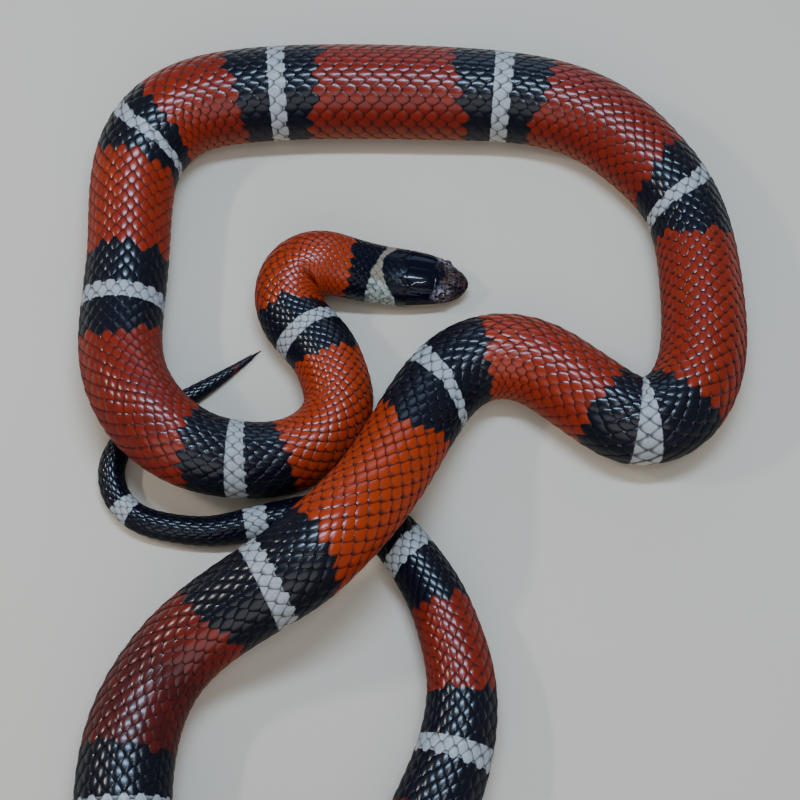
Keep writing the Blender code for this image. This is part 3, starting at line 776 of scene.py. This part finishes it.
def ridge(middle, width, value):
    """1 where `value` is `middle`, falling off smoothly over about `width` on both sides."""
    return np.exp(-((value - middle) / width) ** 2)


def head_relief(shape, chart, at, angle):
    """Height of the skin over the head's base, and 1 at the seams of the plates and on all the plates."""
    points = chart(at, np.abs(angle))
    depth = np.zeros(len(points))
    for outline in head_outlines():
        corners = chart(*np.array(outline, float).T)
        box = (points > corners.min(0)).all(1) & (points < corners.max(0)).all(1)
        depth[box] = np.maximum(depth[box], depth_inside(points[box], corners))
    seam_width = shape.seam_width / MM
    plate = ease(0.0, seam_width, depth)
    height = shape.plate_rise / MM * (plate + PLATE_CROWN * ease(0, PLATE_CROWN_REACH, depth))
    inside_head = 1 - ease(*PLATES_END_SLOPE, at - head_edge(angle))
    height = height * inside_head
    mouth = np.abs(points[:, 1] - chart(np.maximum(at, 0.05), MOUTH_ANGLE)[:, 1])
    open_line = 1 - ease(MOUTH_END - MOUTH_CLOSES, MOUTH_END, at)
    height -= shape.mouth_depth / MM * (1 - ease(*MOUTH_SLOPE, mouth)) * open_line
    nostril = np.linalg.norm((points - chart(*NOSTRIL_PLACE)) * NOSTRIL_STRETCH, axis=1)
    height -= shape.nostril_depth / MM * (1 - ease(*NOSTRIL_SLOPE, nostril))
    height += NOSTRIL_RIM_RISE * ridge(*NOSTRIL_RIM, nostril)
    eye = np.linalg.norm(points - chart(*EYE_PLACE), axis=1)
    socket = 1 - ease(EYE_RADIUS - SOCKET_SLOPE[0], EYE_RADIUS + SOCKET_SLOPE[1], eye)
    height = height * (1 - socket) - SOCKET_DEPTH * socket
    height += shape.orbit_rise / MM * ridge(*ORBIT_RIDGE, eye - EYE_RADIUS)
    seam = (1 - ease(0, seam_width, depth)) * inside_head
    return height, seam, inside_head


def ring_normals(points):
    """Outward direction at each place of a grid of rings that are closed around the body."""
    closed = np.concatenate([points[:, -2:-1], points, points[:, 1:2]], axis=1)
    around = closed[:, 2:] - closed[:, :-2]
    along = np.gradient(points, axis=0)
    normal = np.cross(around, along)
    return normal / np.maximum(np.linalg.norm(normal, axis=-1, keepdims=True), 1e-12)


def skin_places(shape, rings, angles, at, angle):
    """Places of the skin's grid, how near each is to a seam of the plates, and how far on the plates."""
    close = rings < HEAD_SKIN_END
    chart = chart_maker(rings[close], angles, BODY.surface(at, angle)[close])
    height, seam, plated = (np.zeros(at.shape) for _ in range(3))
    head = rings < RELIEF_END
    relief = head_relief(shape, chart, at[head].ravel(), angle[head].ravel())
    for whole, part in zip((height, seam, plated), relief):
        whole[head] = part.reshape(at[head].shape)
    fine = np.maximum(plated, ease(*BARE_TIP, at))
    base = -shape.coat_depth / MM * BODY.coat(at) * (1 - fine) - shape.head_depth / MM * fine
    points = BODY.surface(at, angle, base)
    return points + ring_normals(points) * (height * MM)[..., None], seam, plated


def make_skin(shape, material):
    """One closed skin from the snout to the tip of the tail, with the head's plates raised in it."""
    rings, angles = skin_rings(), skin_angles()
    at, angle = np.meshgrid(rings, angles, indexing="ij")
    points, seam, plated = skin_places(shape, rings, angles, at, angle)
    grid = bmesh.new()
    bmesh.ops.create_grid(grid, x_segments=len(rings) - 1, y_segments=len(angles) - 1, size=1)
    data = finished_mesh(grid, "snake_skin")
    flat = coordinates(data)
    row = np.rint((flat[:, 0] + 1) / 2 * (len(rings) - 1)).astype(int)
    column = np.rint((flat[:, 1] + 1) / 2 * (len(angles) - 1)).astype(int)
    data.vertices.foreach_set("co", points[row, column].astype(np.float32).ravel())
    corner = corner_vertices(data)
    behind = HEAD_MAP_SHARE + (rings - HEAD_SKIN_END) / (BODY.length - HEAD_SKIN_END) * TRUNK_MAP_SHARE
    spread = np.where(rings < HEAD_SKIN_END, rings / HEAD_SKIN_END * HEAD_MAP_SHARE, behind)
    turned = column[corner] / (len(angles) - 1)
    set_bake_map(data, np.stack([0.01 + spread[row[corner]], 0.01 + 0.98 * turned], axis=-1))
    attributes = {"marking": (*markings(at, angle), np.abs(angle)), "region": region(at, angle),
                  "head_place": (at, seam, plated)}
    for key, columns in attributes.items():
        set_attribute(data, key, [values[row, column] for values in columns])
    mesh = bmesh.new()
    mesh.from_mesh(data)
    bmesh.ops.remove_doubles(mesh, verts=mesh.verts[:], dist=1e-7)
    bmesh.ops.holes_fill(mesh, edges=[edge for edge in mesh.edges if edge.is_boundary], sides=0)
    bmesh.ops.recalc_face_normals(mesh, faces=mesh.faces[:])
    mesh.to_mesh(data)
    mesh.free()
    skin = place_piece("snake_skin", data, material)
    flesh = [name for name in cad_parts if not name.startswith("eye")]
    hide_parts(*flesh)


def scale_template():
    """One scale as a disc of unit reach: a domed top, a turned-down rim and a flat underside."""
    mesh = bmesh.new()
    bmesh.ops.create_circle(mesh, cap_ends=True, radius=1, segments=14)
    top = mesh.faces[:][0]
    under = bmesh.ops.extrude_face_region(mesh, geom=[top], use_keep_orig=True)
    low = [item for item in under["geom"] if isinstance(item, bmesh.types.BMFace)][0]
    bmesh.ops.translate(mesh, verts=low.verts[:], vec=(0, 0, -1))
    bmesh.ops.scale(mesh, verts=low.verts[:], vec=(0.93, 0.93, 1))
    for thickness in (0.1, 0.42):
        bmesh.ops.inset_region(mesh, faces=[top], thickness=thickness, use_even_offset=True)
    bmesh.ops.poke(mesh, faces=[top])
    bmesh.ops.recalc_face_normals(mesh, faces=mesh.faces[:])
    return mesh


def scute_template():
    """One scute as a flat plate of unit reach each way and unit thickness."""
    mesh = bmesh.new()
    bmesh.ops.create_grid(mesh, x_segments=4, y_segments=14, size=1)
    bmesh.ops.solidify(mesh, geom=mesh.faces[:], thickness=1)
    bmesh.ops.recalc_face_normals(mesh, faces=mesh.faces[:])
    return mesh


def outline_reach(turn):
    """How far a scale's edge lies from its middle in each direction: rounded in front, pointed behind."""
    power = np.where(np.cos(turn) > 0, *SCALE_OUTLINE)
    return (np.abs(np.cos(turn)) ** power + np.abs(np.sin(turn)) ** power) ** (-1 / power)


class Pattern:
    """Copies of one small mesh, put on the body at many places and joined into one piece."""

    def __init__(self, mesh):
        data = finished_mesh(mesh, "pattern")
        self.flat = coordinates(data)
        self.corner = corner_vertices(data)
        self.totals = np.zeros(len(data.polygons), np.int32)
        data.polygons.foreach_get("loop_total", self.totals)
        bpy.data.meshes.remove(data)

    def join(self, name, points, attributes, places):
        """A mesh of one copy for each row of points, with its attributes and its places on the bake's map."""
        copies, size = points.shape[:2]
        corners = (self.corner + np.arange(copies)[:, None] * size).ravel()
        totals = np.tile(self.totals, copies)
        starts = np.concatenate([[0], np.cumsum(totals)[:-1]])
        mesh = bpy.data.meshes.new(name)
        mesh.vertices.add(copies * size)
        mesh.vertices.foreach_set("co", points.astype(np.float32).ravel())
        mesh.loops.add(len(corners))
        mesh.loops.foreach_set("vertex_index", corners.astype(np.int32))
        mesh.polygons.add(len(totals))
        mesh.polygons.foreach_set("loop_start", starts.astype(np.int32))
        mesh.update(calc_edges=True)
        for key, columns in attributes.items():
            set_attribute(mesh, key, columns)
        set_bake_map(mesh, places)
        return mesh


def scale_seats(start, end):
    """Row number, length from the snout and angle of every scale in a length of the body."""
    seats = []
    for row in range(-ROWS_ASIDE, ROWS_ASIDE + 1):
        numbers = np.arange(int(BODY.count[-1])) + 0.5 * (row % 2)
        at = BODY.seat(numbers)
        angle = row_angle(at, row)
        limit = np.where(at < THROAT_END, 181, FLANK_END)
        clear = at - HEAD_GAP * smooth_table(PITCH, at) > head_edge(angle)
        keep = (at >= start) & (at < end) & (np.abs(angle) < limit) & clear & (at < TAIL_SPINE)
        seats.append(np.stack([np.full(keep.sum(), row), at[keep], angle[keep]], axis=-1))
    return np.concatenate(seats)


def scale_map(pattern, row, seat, angle):
    """Each scale's patches on an unwrap of the body: its top and rim, and its underside beside them."""
    x, y, low = pattern.flat[pattern.corner].T
    totals = np.repeat(pattern.totals, pattern.totals)[:, None]
    patch = np.where(totals == totals.max(), UNDER_PATCH, np.where(low[:, None] < -0.5, RIM_PATCH, TOP_PATCH))
    middle, wide, high = patch.T
    spread = row_angle(seat, np.abs(row) + 0.5) - row_angle(seat, np.abs(row) - 0.5)
    places = (seat + (middle + x * wide) * smooth_table(PITCH, seat), angle + y * high * spread)
    return np.stack([0.02 + 0.96 * (place - place.min()) / (place.max() - place.min()) for place in places],
                    axis=-1)


def make_scales(name, start, end, shape, material):
    """The scales of the back and flanks along one length of the body."""
    pattern = Pattern(scale_template())
    row, seat, angle = scale_seats(start, end).T[..., None]
    draw = np.random.default_rng(shape.seed + int(start))
    tint = draw.random(seat.shape)
    twist = draw.normal(0, SCALE_TWIST, seat.shape)
    size = draw.normal(1, SCALE_SPREAD, seat.shape)
    x, y, low = pattern.flat.T
    reach = np.hypot(x, y)
    turn = np.arctan2(y, x)
    x, y = x * outline_reach(turn), y * outline_reach(turn)
    pitch = smooth_table(PITCH, seat)
    strained = np.clip(BODY.stretch(seat, angle), *STRAIN_LIMITS) ** STRAIN_POWER
    length = 0.5 * shape.scale_length * pitch * size / strained
    width = 0.5 * shape.scale_width * size
    at = seat + x * length
    across = row_angle(at, row + (y + x * twist) * width)
    relief = NAPE_RELIEF + (1 - NAPE_RELIEF) * ease(*SMOOTH_NAPE, seat)
    tilt = (x + 1) / 2 * relief + 1 - relief
    dome = (1 - reach ** 2) * shape.scale_dome / MM * relief
    rim = np.where(reach > 0.97, SCALE_RIM * shape.scale_thickness / MM, 0)
    under = -low * shape.scale_thickness / MM
    lift = -shape.coat_depth / MM + ROOT_LIFT
    out = BODY.coat(seat) * (lift + tilt * shape.scale_rise / MM + dome - rim - under * UNDER_SHARE)
    seats = np.broadcast_to(seat, at.shape)
    attributes = {"marking": (*markings(at, across, seats), np.abs(across)), "region": region(seats, angle),
                  "scale_place": (np.where(low < -0.5, -0.5, x), reach, tint)}
    mesh = pattern.join(name, BODY.surface(at, across, out), attributes, scale_map(pattern, row, seat, angle))
    place_piece(name, mesh, material)


def scute_sides(seat, paired):
    """Angles of both ends of each scute: one right across the belly, or two that meet under the tail."""
    edge = row_angle(seat, np.floor(FLANK_END / smooth_table(ROW_SPACING, seat)) + SCUTE_LAP)
    if not paired:
        return edge[:, None], 360 - edge[:, None]
    near = np.concatenate([edge, np.full(len(seat), 180 - PAIR_LAP)])
    far = np.concatenate([np.full(len(seat), 180 + PAIR_LAP), 360 - edge])
    return near[:, None], far[:, None]


def make_scutes(name, start, end, shape, material):
    """The broad scutes across the belly, or the paired ones under the tail, along one length of the body."""
    pattern = Pattern(scute_template())
    seat = BODY.seat(np.arange(int(BODY.count[-1])) + 0.25)
    seat = seat[(seat >= start) & (seat < end) & (seat > THROAT_END - 1) & (seat < TAIL_SPINE)]
    paired = start >= VENT
    near, far = scute_sides(seat, paired)
    seat = np.tile(seat, 2 if paired else 1)[:, None]
    x, y, z = pattern.flat.T
    low = z < z.max() - 0.5
    pitch = smooth_table(PITCH, seat)
    at = seat + x * (1 - SCUTE_TAPER * np.abs(y) ** 6) * 0.5 * SCUTE_LENGTH * pitch
    angle = (near + far) / 2 + y * (far - near) / 2 * (1 - SCUTE_ROUNDING * np.abs(x) ** 3)
    rim = SCUTE_RIM * shape.scale_thickness / MM * ((np.abs(x) > 0.99) | (np.abs(y) > 0.99))
    sunk = shape.scute_rise / MM * (1 - (x + 1) / 2)
    out = BODY.coat(seat) * (-sunk - SCUTE_DEPTH - rim - low * shape.scale_thickness / MM)
    signed = (angle + 180) % 360 - 180
    tint = np.random.default_rng(shape.seed + 1000 + int(start)).random(seat.shape)
    attributes = {"marking": (*markings(at, signed), np.abs(signed)), "region": region(at, signed),
                  "scale_place": (x * 0.8, np.abs(y) * 0.7, tint)}
    corner = pattern.corner
    middle, wide = np.where(low[corner, None], SCUTE_UNDER_PATCH, SCUTE_TOP_PATCH).T
    column, high = (np.where(near + far > 360.5, 0.75, 0.25), 0.22) if paired else (0.5, 0.46)
    u = 0.5 + (seat - (start + end) / 2 + (middle + x[corner] * wide) * pitch) / (end - start + 8)
    v = np.broadcast_to(column + y[corner] * high, u.shape)
    mesh = pattern.join(name, BODY.surface(at, angle, out), attributes, np.stack([u, v], axis=-1))
    place_piece(name, mesh, material)


def eye_frame(side):
    """Where an eye sits: its middle, and the direction that it looks."""
    at, angle = EYE_PLACE
    foot, over = (Vector(BODY.surface(at, angle * side, out)) for out in (0, 1))
    middle = Vector(BODY.surface(at, angle * side, -EYE_SUNK))
    return Matrix.Translation(middle) @ (over - foot).to_track_quat("Z", "Y").to_matrix().to_4x4()


def make_eye(node, side, material):
    """A round eye with its pupil facing out, over one eye of the solids."""
    mesh = bmesh.new()
    bmesh.ops.create_uvsphere(mesh, u_segments=40, v_segments=24, radius=EYE_RADIUS * MM)
    data = finished_mesh(mesh, node + "_ball")
    flat = coordinates(data)
    out = np.hypot(flat[:, 0], flat[:, 1]) / (EYE_RADIUS * MM) + (flat[:, 2] < 0)
    set_attribute(data, "eye_place", (out, 0, 0))
    data.transform(eye_frame(side))
    eye = place_piece(data.name, data, material)
    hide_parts(node)


# Settings

def number(name, description, value, **kind):
    """A number that a user may change, with its unit or subtype."""
    return FloatProperty(name=name, description=description, default=value, **kind)


def hue(name, description, value):
    """A colour that a user may change."""
    return FloatVectorProperty(name=name, description=description, default=value, subtype="COLOR",
                               min=0, max=1)


class ShapeSettings(bpy.types.PropertyGroup):
    """Sizes of the skin, the scales and the plates of the head."""

    seed: IntProperty(name="Seed", description="Start of the random differences between scales", default=11)
    coat_depth: number("Coat depth", "How deep the skin lies under the scales", 0.00056, unit="LENGTH")
    head_depth: number("Head depth", "How deep the skin lies under the head's plates", 0.0003, unit="LENGTH")
    scale_rise: number("Scale rise", "How much a scale's tip stands over its root", 0.00038, unit="LENGTH")
    scale_dome: number("Scale dome", "How much a scale's middle stands over its edge", 0.00022, unit="LENGTH")
    scale_thickness: number("Scale thickness", "Thickness of a scale at its edge", 0.00013, unit="LENGTH")
    scale_length: number("Scale length", "A scale's length as a share of its pitch", 1.27, subtype="FACTOR")
    scale_width: number("Scale width", "A scale's width as a share of the row spacing", 1.9, subtype="FACTOR")
    scute_rise: number("Scute rise", "How much a scute's rear edge stands proud", 0.0003, unit="LENGTH")
    plate_rise: number("Plate rise", "Height of the head's plates over their seams", 0.00011, unit="LENGTH")
    seam_width: number("Seam width", "Width of the slope down to a seam of plates", 0.0002, unit="LENGTH")
    mouth_depth: number("Mouth depth", "Depth of the line of the mouth", 0.00045, unit="LENGTH")
    nostril_depth: number("Nostril depth", "Depth of a nostril", 0.0006, unit="LENGTH")
    orbit_rise: number("Orbit rise", "Height of the fold of skin round each eye", 0.00014, unit="LENGTH")


class ColourSettings(bpy.types.PropertyGroup):
    """Colours of the snake."""

    maroon: hue("Maroon", "Darkest red of the back", (0.045, 0.0035, 0.0045))
    red: hue("Red", "Brick red of the back", (0.185, 0.0107, 0.0026))
    orange: hue("Orange", "Orange red of the back", (0.31, 0.026, 0.001))
    low_red: hue("Low red", "The red's paler rows low on the flank", (0.30, 0.10, 0.045))
    black: hue("Black", "Black of the rings and the head", (0.0014, 0.0023, 0.0066))
    low_black: hue("Low black", "The black's browner rows low on the flank", (0.055, 0.044, 0.038))
    white: hue("White", "White of the rings", (0.35, 0.356, 0.355))
    white_shade: hue("White shade", "Darker patches of the white", (0.26, 0.265, 0.266))
    # The white tip also paints the nape's dark spots. It and the red scale's tip also paint shade at the tips
    # and rims of scales, where they lap over each other.
    white_tip: hue("White tip", "Dusky tip of a white scale", (0.06, 0.06, 0.064))
    nape_green: hue("Nape green", "Greenish white of the ring on the nape", (0.33, 0.37, 0.29))
    tan: hue("Tan", "Tan part of the ring on the nape", (0.20, 0.145, 0.085))
    tip: hue("Tip", "Dusky tip of a red scale", (0.035, 0.005, 0.004))
    belly: hue("Belly", "Cream of the belly", (0.55, 0.46, 0.34))
    skin: hue("Skin", "Thin skin between scales that are drawn apart", (0.26, 0.20, 0.22))
    skin_dark: hue("Dark skin", "Folded skin between the scales", (0.012, 0.006, 0.006))
    snout: hue("Snout", "Brown of the snout", (0.045, 0.022, 0.018))
    cheek: hue("Cheek", "Lilac grey of the cheeks", (0.33, 0.28, 0.32))
    snout_pale: hue("Pale snout", "Pinkish grey of the snout and cheeks", (0.27, 0.21, 0.19))
    seam: hue("Seam", "Seams between the plates of the head", (0.006, 0.005, 0.005))
    iris: hue("Iris", "Iris", (0.03, 0.02, 0.018))
    iris_fleck: hue("Iris fleck", "Paler flecks of the iris", (0.09, 0.06, 0.05))


class StageSettings(bpy.types.PropertyGroup):
    """Camera, light and floor."""

    lens: number("Lens", "Focal length of the camera", 74.25, unit="CAMERA")
    elevation: number("Elevation", "Height of the camera over the floor, as an angle", math.radians(68),
                      subtype="ANGLE")
    distance: number("Distance", "From the camera to the middle of its view", 0.445, unit="LENGTH")
    aim: FloatVectorProperty(name="Aim", description="Middle of the camera's view on the floor",
                             default=(-0.0035, 0.0288, 0), subtype="XYZ")
    floor_colour: hue("Floor", "Pale floor", (0.54, 0.47, 0.38))
    key_power: number("Key light", "Power of the main light", 1.2, unit="POWER")
    top_power: number("Top light", "Power of the broad light overhead", 3.8, unit="POWER")
    streak_power: number("Streak light", "Power of the narrow light overhead", 0.6, unit="POWER")
    fill_power: number("Fill light", "Power of the soft light behind the camera", 4.2, unit="POWER")
    back_power: number("Back light", "Power of the broad cool light behind", 1.2, unit="POWER")
    world_strength: number("Room light", "Strength of the light from all round", 0.26)


# Each light: its name, its size and place in metres, and its colour
LIGHTS = [
    ("key", (0.1, 0.03), (-0.5, 0.12, 0.44), (1.0, 0.97, 0.92)),
    ("top", (0.36, 0.05), (0.0, 0.16, 0.6), (0.5, 0.72, 1.0)),
    ("fill", (1.2, 0.8), (0.0, -0.75, 0.6), (0.94, 0.96, 1.0)),
    ("streak", (0.3, 0.006), (0.13, -0.05, 0.6), (0.85, 0.93, 1.0)),
    ("back", (0.6, 0.3), (0.12, 0.8, 0.4), (0.5, 0.68, 1.0)),
]
ROOM_COLOUR = (0.93, 0.96, 1.0, 1)
# Half the side of the floor in metres
FLOOR_REACH = 3


# Operators

def settings():
    """The sizes, the colours and the stage's settings."""
    return tuple(getattr(bpy.context.scene, name) for name, _ in GROUPS)


def shared_scale_finish(colours):
    """The scales' material, made once."""
    return bpy.data.materials.get("scale_finish") or scale_finish(colours)


class SNAKE_OT_skin(bpy.types.Operator):
    """Make the skin, with the plates, lips, nostrils and eye sockets of the head"""

    bl_idname = "snake.skin"
    bl_label = "Skin and head"

    def execute(self, context):
        shape, colours, _ = settings()
        at, angle = CHEEK_PLACE
        cheeks = [tuple(BODY.surface(at, angle * side)) for _, side in EYES]
        make_skin(shape, skin_finish(colours, cheeks))
        return {"FINISHED"}


class SNAKE_OT_scales(bpy.types.Operator):
    """Make the overlapping scales of the back and flanks"""

    bl_idname = "snake.scales"
    bl_label = "Back scales"

    def execute(self, context):
        shape, colours, _ = settings()
        for name, start, end in BODY_LENGTHS:
            make_scales(name + "_scales", start, end, shape, shared_scale_finish(colours))
        return {"FINISHED"}


class SNAKE_OT_scutes(bpy.types.Operator):
    """Make the scutes of the belly and the underside of the tail"""

    bl_idname = "snake.scutes"
    bl_label = "Belly scutes"

    def execute(self, context):
        shape, colours, _ = settings()
        for name, start, end in BODY_LENGTHS:
            make_scutes(name + "_scutes", start, end, shape, shared_scale_finish(colours))
        return {"FINISHED"}


class SNAKE_OT_eyes(bpy.types.Operator):
    """Make both eyes"""

    bl_idname = "snake.eyes"
    bl_label = "Eyes"

    def execute(self, context):
        _, colours, _ = settings()
        material = eye_finish(colours)
        for node, side in EYES:
            make_eye(node, side, material)
        return {"FINISHED"}


class SNAKE_OT_stage(bpy.types.Operator):
    """Set the camera, the lights and the floor"""

    bl_idname = "snake.stage"
    bl_label = "Stage"

    def execute(self, context):
        _, _, stage = settings()
        scene = context.scene
        aim = Vector(stage.aim)
        back = Vector((0, -math.cos(stage.elevation), math.sin(stage.elevation)))
        data = bpy.data.cameras.new("camera")
        data.lens = stage.lens
        data.sensor_width = 36
        data.clip_start = 0.01
        camera = new_object("camera", data)
        camera.location = aim + back * stage.distance
        camera.rotation_euler = back.to_track_quat("Z", "Y").to_euler()
        scene.camera = camera
        mesh = bmesh.new()
        bmesh.ops.create_grid(mesh, x_segments=1, y_segments=1, size=FLOOR_REACH)
        data = finished_mesh(mesh, "floor")
        data.materials.append(floor_finish(tuple(stage.floor_colour)))
        floor = new_object("floor", data)
        for name, size, place, colour in LIGHTS:
            data = bpy.data.lights.new(name, "AREA")
            data.energy = getattr(stage, name + "_power")
            data.color = colour
            data.shape = "ELLIPSE"
            data.size, data.size_y = size
            light = new_object(name, data)
            light.location = place
            light.rotation_euler = (Vector(place) - aim).to_track_quat("Z", "Y").to_euler()
        world = bpy.data.worlds.new("room")
        world.use_nodes = True
        background = world.node_tree.nodes["Background"].inputs
        background["Color"].default_value = ROOM_COLOUR
        background["Strength"].default_value = stage.world_strength
        scene.world = world
        return {"FINISHED"}


class SNAKE_PT_panel(bpy.types.Panel):
    """Lists the snake's pieces and settings"""

    bl_label = "Milk snake"
    bl_idname = "SNAKE_PT_panel"
    bl_space_type = "VIEW_3D"
    bl_region_type = "UI"
    bl_category = "Milk snake"

    def draw(self, context):
        for operator in OPERATORS:
            self.layout.operator(operator.bl_idname)
        for group in settings():
            column = self.layout.column(align=True)
            for key in group.bl_rna.properties.keys():
                if key not in ("name", "rna_type"):
                    column.prop(group, key)


OPERATORS = (SNAKE_OT_stage, SNAKE_OT_skin, SNAKE_OT_scales, SNAKE_OT_scutes, SNAKE_OT_eyes)
GROUPS = (("snake_shape", ShapeSettings), ("snake_colours", ColourSettings), ("snake_stage", StageSettings))


def register():
    for _, group in GROUPS:
        bpy.utils.register_class(group)
    for name, group in GROUPS:
        setattr(bpy.types.Scene, name, PointerProperty(type=group))
    for part in OPERATORS + (SNAKE_PT_panel,):
        bpy.utils.register_class(part)


def unregister():
    for part in reversed(OPERATORS + (SNAKE_PT_panel,)):
        bpy.utils.unregister_class(part)
    for name, group in reversed(GROUPS):
        delattr(bpy.types.Scene, name)
        bpy.utils.unregister_class(group)


def main():
    register()
    bpy.ops.snake.stage()
    bpy.ops.snake.skin()
    bpy.ops.snake.scales()
    bpy.ops.snake.scutes()
    bpy.ops.snake.eyes()


if __name__ == "__main__":
    main()
